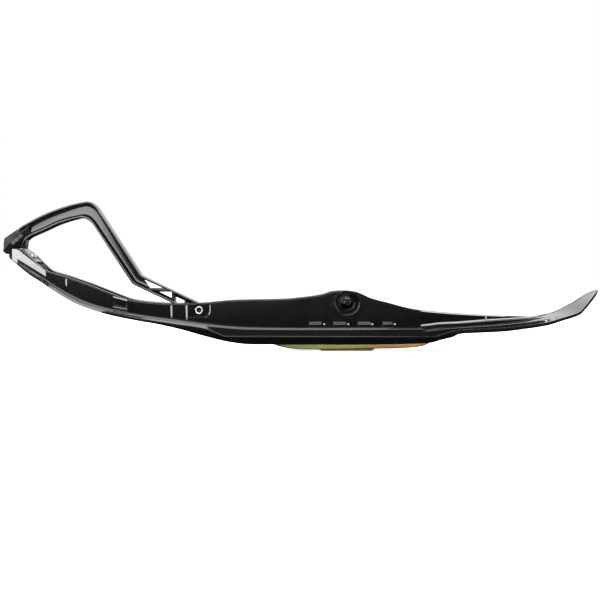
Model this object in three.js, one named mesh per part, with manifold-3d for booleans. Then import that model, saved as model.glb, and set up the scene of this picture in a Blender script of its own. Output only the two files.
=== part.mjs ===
// A snowmobile ski: a moulded plastic runner with an upturned tip and tail, two side walls that form the
// spindle channel, a hand loop over the tip, a steel wear bar with a carbide insert under the keel, and the
// through-bolt that the ski rocks on.
//
// Millimetres. -X is forward (the tip), +X the tail, -Y the ski's left side, +Z up. The origin is under the
// middle of the ski's length, on the ground plane that the carbide insert touches.
import * as THREE from "three";
import { mergeVertices } from "three/addons/utils/BufferGeometryUtils.js";
import Module from "manifold-3d";

const wasm = await Module();
wasm.setup();

// ---------------------------------------------------------------- driving dimensions

const GAP = 0.3; // clearance kept between pieces that touch

// ski body, lengthwise stations
const TIP_X = -541;
const TAIL_X = 555;
const WALL_START_X = -528;
const FLANGE_START_X = -517;
const SADDLE_END_X = 222;
const RAILS_MEET_X = 433;

// ski body, side walls
const WALL_OUTER_Y = 36;
const WALL_INNER_Y = 27;
const RAIL_OUTER_Y = 31;
const RAIL_THICKNESS = 7.5;
const WALL_ROUND = 2.5;

// pivot of the ski on the vehicle's spindle
const PIVOT = { x: 87, z: 91 };
const BOSS_OUTER_Y = 38;
const BOSS_INNER_Y = 22;
const BOSS_RADIUS = 26;
const RECESS_RADIUS = 21.5;
const RECESS_FLOOR_Y = 31;
const BUSHING = { outer: 12, flange: 17, flangeThick: 2.5 };
const SLEEVE = { outer: 9.5, bore: 6.3, halfLength: 33 };
const RUNNING_CLEARANCE = 0.4;
const PIVOT_WASHER = { outer: 17, bore: 6.5, thick: 3 };
const PIVOT_BOLT = { shank: 6, head: 10, headThick: 6.5, socket: 8 };
const PIVOT_NUT = { acrossFlats: 18, thick: 12, flange: 13 };

// hand loop and its fasteners
const LOOP_HALF_WIDTH = 15;
const LOOP_WEB_HALF = 3;
const LOOP_RIM = 4;
const LOOP_BOLT = { x: -185, z: 77.6, shank: 4, acrossFlats: 13, headThick: 5.3, nutThick: 8 };
const LOOP_BOSS = { radius: 11.5, halfWidth: 26.4 };
const LOOP_SPACER = { outer: 6.8, bore: 4.3 };
const LOOP_WASHER = { outer: 8.5, bore: 4.3, thick: 1.6 };
const LOOP_POCKET_Y = 32;
const NUT_WELL_RADIUS = 11.5;
const FOOT = { x: -500, slopeDeg: 38.5, thick: 5.5, halfWidth: 21, halfLength: 14 };
const FOOT_SCREW = { y: 12, shank: 3, head: 5.5, headThick: 3.2, length: 19, socket: 4 };
const INSERT = { outer: 4.6, bore: 3.3, length: 14 };

// wear bar, carbide and studs
const BAR = { frontX: -50, rearX: 240, halfWidth: 5.5, top: 14.6 };
const BAR_GROOVE = { halfWidth: 5.9, top: 15 };
const CARBIDE = { startX: 37, length: 101.6, halfWidth: 2.2, top: 5 };
const STUD = { radius: 4, xs: { front: -20, middle: 92, rear: 204 }, top: 51 };
const STUD_WELL = { radius: 11, floor: 38 };
const STUD_WASHER = { outer: 8.5, bore: 4.4, thick: 1.6 };
const STUD_NUT = { acrossFlats: 13, thick: 8 };

// spindle damper
const DAMPER = { startX: 27, endX: 147, halfWidth: 17.5 };

// printed decals on the tip
const DECAL_THICK = 0.5;

// ---------------------------------------------------------------- long curves of the ski, [x, value]

// A smooth curve through [x, value] points that never overshoots them.
function curveThrough(points) {
  const secants = points.slice(1).map(([x, v], i) => (v - points[i][1]) / (x - points[i][0]));
  const slopes = points.map((_, i) => {
    const before = secants[i - 1] ?? secants[i];
    const after = secants[i] ?? before;
    return before * after > 0 ? (2 * before * after) / (before + after) : 0;
  });
  return (x) => {
    if (x <= points[0][0]) return points[0][1];
    if (x >= points.at(-1)[0]) return points.at(-1)[1];
    const i = points.findIndex(([px]) => px > x) - 1;
    const [x0, v0] = points[i];
    const [x1, v1] = points[i + 1];
    const h = x1 - x0;
    const t = (x - x0) / h;
    return (
      v0 * (1 + 2 * t) * (1 - t) ** 2 +
      slopes[i] * h * t * (1 - t) ** 2 +
      v1 * t * t * (3 - 2 * t) +
      slopes[i + 1] * h * t * t * (t - 1)
    );
  };
}

// Top of the side walls: high at the tip, a hump over the pivot, low rails at the tail.
const wallTop = curveThrough([
  [-528, 191], [-517, 190], [-466, 150], [-441, 142.5], [-395, 127], [-341, 106], [-314, 96.6],
  [-277, 91.8], [-238, 89.6], [-187, 90.4], [-123, 95.6], [-92, 96.4], [-28, 97.8], [0, 100.4],
  [26, 103.5], [44, 107], [60, 112], [81, 113.3], [100, 111.8], [133, 98.6], [158, 92], [222, 77],
  [341, 68], [433, 64.6],
]);

// Upper face of the runner where the walls stand on it, then the crown of the tail blade.
const deckTop = curveThrough([
  [-541, 182], [-528, 172], [-517, 164.5], [-469, 134.8], [-436, 112], [-390, 90], [-343, 77],
  [-315, 71.5], [-236, 60.6], [-156, 50.8], [-92, 46], [0, 45], [222, 46], [260, 51], [340, 57],
  [433, 63], [450, 66], [474, 72.6], [500, 85.6], [525, 99], [555, 114.5],
]);

// Floor of the channel between the walls; a raised deck under the loop's foot at the tip.
const channelFloor = curveThrough([
  [-541, 184.5], [-528, 185], [-517, 183.5], [-486, 159], [-476, 146], [-469, 141.5], [-436, 119],
  [-390, 97], [-343, 83], [-315, 77.5], [-236, 66], [-156, 57], [-92, 52.5], [0, 52], [222, 52],
  [260, 54.5], [340, 60.5], [395, 63.4], [433, 63.8],
]);

// Lowest line of the runner's outer edges, with a deeper skirt amidships.
const edgeBottom = curveThrough([
  [-541, 177], [-528, 168.8], [-517, 161], [-492, 142], [-470, 128], [-450, 114.5], [-431, 103],
  [-412, 92.5], [-385, 81.4], [-341, 68.5], [-289, 58.4], [-228, 49], [-165, 40.5], [-147, 33.4],
  [-135, 29], [241, 28.3], [258, 32.5], [275, 35.5], [302, 36.6], [367, 39.5], [409, 44.4],
  [445, 50], [478, 59.6], [507, 69.5], [520, 80], [530, 89.5], [545, 102], [555, 108.5],
]);

// Height of the upright face at the runner's edge.
const edgeFace = curveThrough([
  [-541, 4.5], [-200, 5], [-150, 2.5], [245, 2.5], [282, 5.4], [300, 7], [400, 6.5], [507, 5.3],
  [520, 6.5], [545, 6.5], [555, 5.5],
]);

// Half of the runner's plan width; the step at the start of the flange is added in halfWidth().
const planHalfWidth = curveThrough([
  [-541, 10], [-538, 20], [-534, 29], [-528, 36.15], [-517, 36.15], [-516.9, 44], [-490, 50], [-440, 55],
  [-380, 61], [-300, 68], [-200, 73], [-120, 75], [220, 75], [300, 73.5], [400, 69], [480, 64.5],
  [507, 62], [520, 55], [530, 46], [540, 35], [549, 20], [555, 6],
]);

// How sharply the flange turns down at its edge: 1 is an even slope, 5 a flat shelf with a steep skirt.
const flangeTurn = curveThrough([[-541, 1.5], [-250, 1.6], [-130, 5], [230, 5], [300, 3], [555, 4]]);

// Thickness of the runner's plate.
const plateThickness = curveThrough([
  [-541, 6], [-350, 6.5], [-150, 9], [230, 9], [340, 8], [433, 6.5], [555, 6],
]);

// Bottom of the keel, which fades into the plate towards the tip and the tail.
const keelBottom = curveThrough([
  [-541, 200], [-345, 72], [-280, 53.5], [-223, 40.5], [-175, 27], [-124, 15.5], [-88, 12], [100, 12],
  [237, 14.4],
  [269, 22], [286, 26.3], [294, 30.6], [311, 33.4], [335, 38.5], [372, 50], [400, 70],
  [555, 200],
]);

// Bottom of the wear bar, from its buried front end to its buried rear end.
const barBottom = curveThrough([
  [-50, 12.4], [-40, 8.6], [-17, 4.4], [7, 2.6], [40, 2.5], [139, 4.2], [187, 5.2], [212, 6.4], [226, 8.2],
  [240, 13],
]);

// ---------------------------------------------------------------- solids and geometry

// A closed three.js geometry as a manifold solid.
function solidOf(geometry) {
  const faces = geometry.index ? geometry.toNonIndexed() : geometry;
  const bare = new THREE.BufferGeometry().setAttribute("position", faces.getAttribute("position"));
  const merged = mergeVertices(bare, 1e-4);
  const mesh = new wasm.Mesh({
    numProp: 3,
    vertProperties: merged.attributes.position.array,
    triVerts: new Uint32Array(merged.index.array),
  });
  return new wasm.Manifold(mesh);
}

// A manifold solid back as a three.js geometry.
function geometryOf(solid) {
  const mesh = solid.getMesh();
  return new THREE.BufferGeometry()
    .setAttribute("position", new THREE.BufferAttribute(Float32Array.from(mesh.vertProperties), 3))
    .setIndex(new THREE.BufferAttribute(Uint32Array.from(mesh.triVerts), 1));
}

function joined(first, ...others) {
  return others.reduce((sum, other) => sum.add(other), first);
}

function cutBy(solid, ...tools) {
  return tools.reduce((rest, tool) => rest.subtract(tool), solid);
}

// A skin over rings of points, each ring counter-clockwise as seen from the last ring, closed at both ends.
function skin(rings) {
  const count = rings[0].length;
  const positions = rings.flat().flatMap((p) => [p.x, p.y, p.z]);
  const index = [];
  for (let i = 0; i + 1 < rings.length; i++) {
    for (let j = 0; j < count; j++) {
      const a = i * count + j;
      const b = i * count + ((j + 1) % count);
      index.push(a, b, b + count, a, b + count, a + count);
    }
  }
  return new THREE.BufferGeometry()
    .setAttribute("position", new THREE.Float32BufferAttribute(positions, 3))
    .setIndex([...index, ...endCap(rings, 0), ...endCap(rings, rings.length - 1)]);
}

// Triangles that close the first or the last ring, facing away from the others.
function endCap(rings, which) {
  const ring = rings[which];
  const normal = ring[0].clone().set(0, 0, 0);
  ring.forEach((p, i) => normal.add(p.clone().cross(ring[(i + 1) % ring.length])));
  const side = ring[1].clone().sub(ring[0]).normalize();
  const up = normal.normalize().clone().cross(side);
  const flat = ring.map((p) => new THREE.Vector2(p.dot(side), p.dot(up)));
  const offset = which * ring.length;
  return THREE.ShapeUtils.triangulateShape(flat, []).flatMap(([a, b, c]) =>
    which === 0 ? [offset + a, offset + c, offset + b] : [offset + a, offset + b, offset + c],
  );
}

// A skin over [y, z] sections at stations along X. Each section is a half, mirrored about Y = 0.
function loftAlongX(stations, halfSection) {
  return skin(stations.map((x) => mirrored(halfSection(x)).map(([y, z]) => new THREE.Vector3(x, y, z))));
}

// A half section from its lowest centre point to its highest one, with its mirror image added.
function mirrored(half) {
  const inner = half.slice(1, -1).reverse();
  return [...half, ...inner.map(([y, z]) => [-y, z])];
}

// A shape drawn in X and Z as a plate from y0 to y1.
function plate(shape, y0, y1) {
  const options = { depth: y1 - y0, bevelEnabled: false, curveSegments: 10 };
  const geometry = new THREE.ExtrudeGeometry(shape, options);
  return solidOf(geometry.rotateX(Math.PI / 2).translate(0, y1, 0));
}

function polygon(points) {
  return new THREE.Shape(corners(points));
}

// A cylinder along Y from y0 to y1, at x and z.
function rodY(radius, y0, y1, { x, z }, sides = 32) {
  const geometry = new THREE.CylinderGeometry(radius, radius, y1 - y0, sides);
  return solidOf(geometry.translate(x, (y0 + y1) / 2, z));
}

// A cylinder along Z from z0 to z1, at x.
function rodZ(radius, z0, z1, x, sides = 24) {
  const geometry = new THREE.CylinderGeometry(radius, radius, z1 - z0, sides);
  return solidOf(geometry.rotateX(Math.PI / 2).translate(x, 0, (z0 + z1) / 2));
}

// A tube about the Y axis from y0 to y1.
function ring(outer, bore, y0, y1, sides = 32) {
  const profile = [[bore, y0], [outer, y0], [outer, y1], [bore, y1], [bore, y0]];
  return new THREE.LatheGeometry(profile.map(([r, y]) => new THREE.Vector2(r, y)), sides);
}

// A hexagonal prism about the Y axis from y0 to y1.
function hexagon(acrossFlats, y0, y1) {
  const radius = acrossFlats / Math.sqrt(3);
  const geometry = new THREE.CylinderGeometry(radius, radius, y1 - y0, 6);
  return solidOf(geometry.translate(0, (y0 + y1) / 2, 0));
}

// A plain rod about the Y axis from y0 to y1.
function shank(radius, y0, y1, sides = 24) {
  return rodY(radius, y0, y1, { x: 0, z: 0 }, sides);
}

function evenly(from, to, step) {
  const count = Math.max(1, Math.round((to - from) / step));
  return Array.from({ length: count }, (_, i) => from + ((to - from) * i) / count);
}

// ---------------------------------------------------------------- ski body

// Outer and inner faces of the side walls, which become two rails that meet at the tail.
function wallFaces(x) {
  const width = planHalfWidth(x);
  if (x <= SADDLE_END_X) {
    const outer = Math.min(WALL_OUTER_Y, width - 0.15);
    return [outer, Math.min(WALL_INNER_Y, outer - 3)];
  }
  const share = Math.min(1, (x - SADDLE_END_X) / (RAILS_MEET_X - SADDLE_END_X));
  const past = Math.max(0, (x - RAILS_MEET_X) / (TAIL_X - RAILS_MEET_X));
  const outer = Math.min(RAIL_OUTER_Y + (5 - RAIL_OUTER_Y) * share, 5 - 3.5 * past + 100 * (1 - share));
  return [outer, Math.max(outer - RAIL_THICKNESS, 0.28 * outer)];
}

// Height of the walls' top, which is level with the floor where there are no walls.
function crest(x) {
  const floor = floorUnder(x);
  if (x < WALL_START_X) return floor + 0.5;
  if (x <= RAILS_MEET_X) return Math.max(wallTop(x), floor + 0.5);
  const fade = Math.max(0, 1 - (x - RAILS_MEET_X) / 60);
  return deckTop(x) + 0.6 + fade;
}

function floorUnder(x) {
  return x <= RAILS_MEET_X ? channelFloor(x) : deckTop(x) + 0.3;
}

// The runner's upper face at a share 0 to 1 of the way from the wall to the edge.
function flangeTop(x, share) {
  const edge = edgeBottom(x) + edgeFace(x);
  return deckTop(x) - (deckTop(x) - edge) * share ** flangeTurn(x);
}

function bodySection(x) {
  const width = planHalfWidth(x);
  const [outer, inner] = wallFaces(x);
  const thick = plateThickness(x);
  const top = crest(x);
  const floor = floorUnder(x);
  const round = Math.min(WALL_ROUND, (top - floor) / 3, (outer - inner) / 4);
  const edge = edgeBottom(x);
  const under = deckTop(x) - thick;
  const keel = Math.min(keelBottom(x), under - 0.4);
  const root = Math.min(13 + 0.45 * (under - keel), 0.42 * width);
  const foot = Math.min(1.5, (width - outer) / 6);
  const at = (share) => outer + (width - outer) * share;
  const below = (y) => flangeTop(x, Math.max(0, (y - outer) / (width - outer))) - thick;
  return [
    [0, keel],
    [Math.min(10, 0.3 * width), keel],
    [root, under],
    [0.68 * width, Math.min(below(0.68 * width), under)],
    [0.87 * width, Math.max(below(0.87 * width), edge + 0.8)],
    [width * 0.93, edge],
    [width * 0.985, edge],
    [width, edge + edgeFace(x)],
    [at(0.93), flangeTop(x, 0.93)],
    [at(0.82), flangeTop(x, 0.82)],
    [at(0.66), flangeTop(x, 0.66)],
    [at(0.4), flangeTop(x, 0.4)],
    [outer + foot, deckTop(x)],
    [outer, deckTop(x) + foot],
    [outer, top - round],
    [outer - 0.3 * round, top - 0.3 * round],
    [outer - round, top],
    [inner + round, top],
    [inner, top - round],
    [inner, floor],
    [0, floor],
  ];
}

function bodyStations() {
  return [
    TIP_X, -538, -534, WALL_START_X - 0.4, WALL_START_X, -522, FLANGE_START_X, -516.9, -508, -499, -490,
    -484, -478, ...evenly(-470, -165, 17), -165, -156, -147, -141, ...evenly(-135, 20, 26),
    ...evenly(20, 150, 10), ...evenly(150, SADDLE_END_X, 24), SADDLE_END_X, SADDLE_END_X + 0.4, 241, 258, 270,
    280, 290, 300, ...evenly(315, RAILS_MEET_X, 20), RAILS_MEET_X, RAILS_MEET_X + 0.5,
    ...evenly(445, 500, 11), 500, 507, 513, 520, 525, 530, 535, 540, 545, 549, 552, TAIL_X,
  ];
}

// Raised disc round the pivot, outside and inside one wall; side is -1 for the left wall, 1 for the right.
function pivotBoss(side) {
  const [y0, y1] = side < 0 ? [-BOSS_OUTER_Y, -BOSS_INNER_Y] : [BOSS_INNER_Y, BOSS_OUTER_Y];
  return rodY(BOSS_RADIUS, y0, y1, { x: PIVOT.x, z: PIVOT.z - 5 }, 40);
}

// Small gusset blocks in the corner between a wall and the flange, under the pivot.
function gussets(side) {
  const profile = [[WALL_OUTER_Y - 2, 41], [57, 41], [55, 46.5], [41, 55.5], [WALL_OUTER_Y - 2, 55.8]];
  return [[16, 40], [61, 85], [106, 130], [151, 172]].map(([x0, x1]) => {
    const ringAt = (x) => profile.map(([y, z]) => new THREE.Vector3(x, side * y, z));
    const rings = side > 0 ? [ringAt(x0), ringAt(x1)] : [ringAt(x1), ringAt(x0)];
    return solidOf(skin(rings));
  });
}

// Upright ribs on the outside of a wall, which stiffen it ahead of the saddle.
function wallRibs(side) {
  return [-429, -236, -208].map((x) => {
    const shape = polygon([
      [x - 1.8, deckTop(x) - 1], [x + 1.8, deckTop(x) - 1],
      [x + 1.8, wallTop(x) - 3], [x - 1.8, wallTop(x) - 3],
    ]);
    const [low, high] = [WALL_OUTER_Y - 3, WALL_OUTER_Y + 1.6];
    const [y0, y1] = side < 0 ? [-high, -low] : [low, high];
    return plate(shape, y0, y1);
  });
}

// Slot moulded into a wall between the ribs.
function wallSlot(side) {
  const shape = polygon([[-343, 84], [-343, 101.5], [-317, 93.5], [-317, 78.5]]);
  const [low, high] = [WALL_OUTER_Y - 1.8, WALL_OUTER_Y + 1];
  const [y0, y1] = side < 0 ? [-high, -low] : [low, high];
  return plate(shape, y0, y1);
}

// Pocket round the loop's bolt: a shallow panel with one round corner, and a round well for the nut.
function loopBoltPocket(side) {
  const shape = new THREE.Shape();
  shape.moveTo(-206, 64);
  shape.lineTo(-178, 64);
  shape.quadraticCurveTo(-166, 66, -166, 80);
  shape.lineTo(-166, 87.5);
  shape.lineTo(-206, 87.5);
  shape.closePath();
  const [y0, y1] = side < 0 ? [-40, -WALL_OUTER_Y + 2] : [WALL_OUTER_Y - 2, 40];
  const [w0, w1] = side < 0 ? [-40, -LOOP_POCKET_Y] : [LOOP_POCKET_Y, 40];
  return plate(shape, y0, y1).add(rodY(NUT_WELL_RADIUS, w0, w1, LOOP_BOLT, 28));
}

// Everything cut into the body for the pivot hardware.
function pivotCuts() {
  return [
    rodY(RECESS_RADIUS, -60, -RECESS_FLOOR_Y, PIVOT, 40),
    rodY(RECESS_RADIUS, RECESS_FLOOR_Y, 60, PIVOT, 40),
    rodY(BUSHING.outer + GAP, -40, 40, PIVOT, 40),
  ];
}

// Everything cut into the keel and floor for the wear bar and its studs.
function wearBarCuts() {
  const [x0, x1] = [BAR.frontX - 1, BAR.rearX + 1];
  const groove = polygon([[x0, 0], [x1, 0], [x1, BAR_GROOVE.top], [x0, BAR_GROOVE.top]]);
  const wells = Object.values(STUD.xs).flatMap((x) => [
    rodZ(STUD.radius + 0.6, 5, 60, x),
    rodZ(STUD_WELL.radius, STUD_WELL.floor, 60, x),
  ]);
  return [plate(groove, -BAR_GROOVE.halfWidth, BAR_GROOVE.halfWidth), ...wells];
}

// A piece built about the Y axis, turned to stand on the loop's sloping foot at the given y.
function ontoFoot(solid, y) {
  const turn = new THREE.Matrix4()
    .makeTranslation(FOOT.x, y, footHeight())
    .multiply(new THREE.Matrix4().makeRotationY(THREE.MathUtils.degToRad(FOOT.slopeDeg)))
    .multiply(new THREE.Matrix4().makeRotationX(Math.PI / 2));
  return solidOf(geometryOf(solid).applyMatrix4(turn));
}

// Height of the tip's deck at the middle of the loop's foot.
function footHeight() {
  return channelFloor(FOOT.x);
}

function skiBody() {
  const runner = solidOf(loftAlongX(bodyStations(), bodySection));
  const sides = [-1, 1];
  const added = sides.flatMap((s) => [pivotBoss(s), ...gussets(s), ...wallRibs(s)]);
  const insertHoles = sides.map((s) =>
    ontoFoot(shank(INSERT.outer + GAP, -INSERT.length - 1, 6), s * FOOT_SCREW.y)
  );
  return cutBy(
    joined(runner, ...added),
    ...sides.map(wallSlot),
    ...sides.map(loopBoltPocket),
    rodY(LOOP_BOLT.shank + 0.4, -50, 50, LOOP_BOLT, 24),
    ...pivotCuts(),
    ...wearBarCuts(),
    ...insertHoles,
  );
}

// ---------------------------------------------------------------- hand loop

// Outer edge of the loop, from the nose over the top to the bolt behind.
function loopOuter() {
  const path = new THREE.Path();
  path.moveTo(-551, 209.5);
  path.splineThru(corners([[-507, 237.2], [-476, 253.8], [-440, 267.5], [-412, 275], [-395, 278]]));
  path.quadraticCurveTo(-382, 279.5, -373, 263);
  path.lineTo(-297, 144.5);
  path.quadraticCurveTo(-295, 141.3, -289.5, 138.7);
  path.lineTo(-180, 86.6);
  return path;
}

// Inner edge of the loop, round the hand opening.
function loopInner() {
  const path = new THREE.Path();
  path.moveTo(-513.5, 176);
  path.lineTo(-513.5, 194);
  path.quadraticCurveTo(-511.5, 206.5, -498, 213);
  path.splineThru(corners([[-472.8, 224.8], [-451.9, 234.6], [-433, 241.4], [-412, 247]]));
  path.quadraticCurveTo(-393.5, 251, -380, 230.5);
  path.lineTo(-313.5, 128.5);
  path.quadraticCurveTo(-311, 124.8, -306, 122.4);
  path.lineTo(-190, 67.2);
  return path;
}

function corners(points) {
  return points.map(([x, z]) => new THREE.Vector2(x, z));
}

// Points along a path, each straight piece as its two ends and each bend as a few steps.
function along(path) {
  return path.getPoints(7).map((p) => [p.x, p.y]);
}

// A band of even thickness beside a path; a positive thickness lies to the left of the way it runs.
function band(points, thickness) {
  const beside = points.map(([x, z], i) => {
    const [ax, az] = points[Math.max(0, i - 1)];
    const [bx, bz] = points[Math.min(points.length - 1, i + 1)];
    const length = Math.hypot(bx - ax, bz - az);
    return [x - (thickness * (bz - az)) / length, z + (thickness * (bx - ax)) / length];
  });
  return polygon([...points, ...beside.reverse()]);
}

// Openings between the struts of the truss behind the loop.
function trussWindows() {
  return [
    [[-291, 133.5], [-280, 118], [-256, 118]],
    [[-263, 110.5], [-238.5, 98.5], [-238.5, 110.5]],
    [[-232, 101.5], [-232, 92.5], [-215, 84.5], [-215, 93.5]],
    [[-210.5, 91], [-210.5, 82.5], [-201, 78.5], [-201, 86.5]],
  ].map((corners) => plate(polygon(corners), -20, 20));
}

// Full-width struts of the truss.
function trussStruts() {
  return [
    [[-281, 117.7], [-281, 112], [-240, 112], [-256, 117.7]],
    [[-238.2, 112], [-238.2, 92], [-232.3, 89.5], [-232.3, 110]],
    [[-214.7, 101], [-214.7, 81], [-210.8, 79], [-210.8, 99]],
  ].map((corners) => plate(polygon(corners), -LOOP_HALF_WIDTH + 1, LOOP_HALF_WIDTH - 1));
}

// The hood over the tip: a wedge that is wide at the nose and narrows into the loop's upper arm. Its
// sections stand square to its own sloping edge, which runs from EDGE_FOOT in the direction EDGE_WAY.
const EDGE_FOOT = new THREE.Vector2(-542.9, 190);
const EDGE_WAY = new THREE.Vector2(0.69, 0.724).normalize();
const hoodHalfWidth = curveThrough([[-14, 15], [-8, 26], [-2, 35], [8, 35], [30, 25], [50, 16.5], [60, 15]]);
const hoodRoof = curveThrough([[-14, 2], [-8, 9], [9, 18], [58, 7.5], [60, 7]]);
const hoodInner = curveThrough([[-14, -40], [0, -34], [25, -21], [40, -11], [60, -2]]);

function hoodSection(u) {
  const wide = hoodHalfWidth(u);
  const roof = hoodRoof(u);
  const inner = hoodInner(u);
  const half = [
    [0, inner],
    [LOOP_HALF_WIDTH - 3, inner],
    [LOOP_HALF_WIDTH - 1, inner * 0.6],
    [Math.max(wide - 4, LOOP_HALF_WIDTH - 0.6), Math.max(-6, inner * 0.5)],
    [wide, 0],
    [wide - 1.5, 0.14 * roof + 1],
    [wide * 0.5, 0.82 * roof],
    [0, roof],
  ];
  return mirrored(half).map(([y, v]) => {
    const x = EDGE_FOOT.x + u * EDGE_WAY.x - v * EDGE_WAY.y;
    const z = EDGE_FOOT.y + u * EDGE_WAY.y + v * EDGE_WAY.x;
    return new THREE.Vector3(x, y, z);
  });
}

// The space that the ski's tip takes, kept clear of the hood.
function tipClearance() {
  const above = (x) => wallTop(x) + 0.7;
  const shape = polygon([
    [-600, 181], [TIP_X - 0.7, 181], [TIP_X - 0.7, 186.2],
    [WALL_START_X - 1, 186.2], [WALL_START_X - 1, 191.7],
    ...[-517, -505, -495, -485, -475].map((x) => [x, above(x)]),
    [-440, above(-440)], [-440, 120], [-600, 120],
  ]);
  return plate(shape, -70, 70);
}

// The sloping foot that lies on the tip's deck between the walls.
function loopFoot() {
  const slope = Math.tan(THREE.MathUtils.degToRad(FOOT.slopeDeg));
  const rise = FOOT.thick / Math.cos(THREE.MathUtils.degToRad(FOOT.slopeDeg));
  const low = (x) => footHeight() + 0.5 - slope * (x - FOOT.x);
  const [x0, x1] = [FOOT.x - FOOT.halfLength, FOOT.x + FOOT.halfLength - 4];
  const shape = polygon([
    [x0, low(x0)], [x1, low(x1)], [x1 + 4, low(x1) + rise - 4], [x0, low(x0) + rise + 4],
  ]);
  return plate(shape, -FOOT.halfWidth, FOOT.halfWidth);
}

function handLoop() {
  const outer = along(loopOuter());
  const inner = along(loopInner());
  const web = plate(polygon([...outer, ...[...inner].reverse()]), -LOOP_WEB_HALF, LOOP_WEB_HALF);
  const rims = [
    plate(band(outer, -LOOP_RIM), -LOOP_HALF_WIDTH, LOOP_HALF_WIDTH),
    plate(band(inner, LOOP_RIM), -LOOP_HALF_WIDTH, LOOP_HALF_WIDTH),
  ];
  const hood = solidOf(skin(evenly(-14, 60, 5).concat(60).map(hoodSection)));
  const shaped = joined(cutBy(web, ...trussWindows()), ...rims, ...trussStruts(), hood);
  const boss = rodY(LOOP_BOSS.radius, -LOOP_BOSS.halfWidth, LOOP_BOSS.halfWidth, LOOP_BOLT, 32);
  const screwHoles = [-1, 1].flatMap((s) => [
    ontoFoot(shank(FOOT_SCREW.shank + 0.4, -6, 60), s * FOOT_SCREW.y),
    ontoFoot(shank(FOOT_SCREW.head + 0.8, FOOT.thick, 60), s * FOOT_SCREW.y),
  ]);
  return cutBy(
    joined(cutBy(shaped, tipClearance()), boss, loopFoot()),
    rodY(LOOP_SPACER.outer + GAP, -50, 50, LOOP_BOLT, 28),
    ...screwHoles,
  );
}

// ---------------------------------------------------------------- fasteners

function pivotBolt() {
  const under = -(SLEEVE.halfLength + PIVOT_WASHER.thick + 2 * GAP);
  const dome = new THREE.LatheGeometry(
    [[0, 0], [PIVOT_BOLT.head, 0], [PIVOT_BOLT.head, -1.5], [8, -4.6],
      [5, -PIVOT_BOLT.headThick], [0, -PIVOT_BOLT.headThick]]
      .reverse()
      .map(([r, y]) => new THREE.Vector2(r, y)),
    32,
  );
  const head = solidOf(dome.translate(0, under, 0));
  const socket = hexagon(PIVOT_BOLT.socket, under - 20, under - PIVOT_BOLT.headThick + 4);
  return cutBy(joined(shank(PIVOT_BOLT.shank, under - 0.1, -under + PIVOT_NUT.thick + 3), head), socket);
}

function pivotNut() {
  const face = SLEEVE.halfLength + PIVOT_WASHER.thick + 2 * GAP;
  return cutBy(
    joined(
      hexagon(PIVOT_NUT.acrossFlats, face + 1, face + PIVOT_NUT.thick),
      shank(PIVOT_NUT.flange, face, face + 2.5, 32)
    ),
    shank(PIVOT_BOLT.shank + GAP, 0, 100),
  );
}

function pivotBushing(side) {
  const bore = SLEEVE.outer + RUNNING_CLEARANCE;
  const profile = [
    [bore, BOSS_INNER_Y - BUSHING.flangeThick], [BUSHING.flange, BOSS_INNER_Y - BUSHING.flangeThick],
    [BUSHING.flange, BOSS_INNER_Y - GAP], [BUSHING.outer, BOSS_INNER_Y - GAP],
    [BUSHING.outer, RECESS_FLOOR_Y],
    [bore, RECESS_FLOOR_Y], [bore, BOSS_INNER_Y - BUSHING.flangeThick],
  ];
  const geometry = new THREE.LatheGeometry(profile.map(([r, y]) => new THREE.Vector2(r, y)), 40);
  return side > 0 ? geometry : geometry.rotateX(Math.PI);
}

// Where the loop's washers bear on the walls, and where its bolt head and nut bear on the washers.
const LOOP_SEAT = LOOP_POCKET_Y + GAP;
const LOOP_GRIP = LOOP_SEAT + LOOP_WASHER.thick + GAP;

function loopBolt() {
  const head = hexagon(LOOP_BOLT.acrossFlats, LOOP_GRIP, LOOP_GRIP + LOOP_BOLT.headThick);
  return head.add(shank(LOOP_BOLT.shank, -LOOP_GRIP - LOOP_BOLT.nutThick - 2, LOOP_GRIP + 0.1));
}

function loopNut() {
  return hexagon(LOOP_BOLT.acrossFlats, -LOOP_GRIP - LOOP_BOLT.nutThick, -LOOP_GRIP).subtract(
    shank(LOOP_BOLT.shank + GAP, -100, 0),
  );
}

function footScrew() {
  const head = new THREE.LatheGeometry(
    [[0, 0], [FOOT_SCREW.head, 0], [FOOT_SCREW.head - 1.4, FOOT_SCREW.headThick * 0.7],
      [2.6, FOOT_SCREW.headThick], [0, FOOT_SCREW.headThick]].map(
      ([r, y]) => new THREE.Vector2(r, y),
    ),
    24,
  );
  const seat = FOOT.thick + GAP + 0.4;
  const thread = shank(FOOT_SCREW.shank, seat - FOOT_SCREW.length, seat + 0.1);
  const screw = solidOf(head.translate(0, seat, 0)).add(thread);
  return screw.subtract(hexagon(FOOT_SCREW.socket, seat + 1.4, seat + 20));
}

// ---------------------------------------------------------------- wear bar

function wearBar() {
  const section = (x) => {
    const low = Math.min(barBottom(x), BAR.top - 1.6);
    const high = BAR.top;
    const tall = high - low;
    return [
      [0, low], [2.4, low + 0.05 * tall], [4.6, low + 0.22 * tall], [BAR.halfWidth, low + 0.5 * tall],
      [BAR.halfWidth, high], [0, high],
    ];
  };
  const stations = [
    ...evenly(BAR.frontX, 40, 9), ...evenly(40, 187, 37), ...evenly(187, BAR.rearX, 7), BAR.rearX,
  ];
  const bar = solidOf(loftAlongX(stations, section));
  const slot = polygon([
    [CARBIDE.startX - GAP, -5], [CARBIDE.startX + CARBIDE.length + GAP, -5],
    [CARBIDE.startX + CARBIDE.length + GAP, CARBIDE.top + GAP], [CARBIDE.startX - GAP, CARBIDE.top + GAP],
  ]);
  return bar.subtract(plate(slot, -CARBIDE.halfWidth - GAP, CARBIDE.halfWidth + GAP));
}

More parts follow.
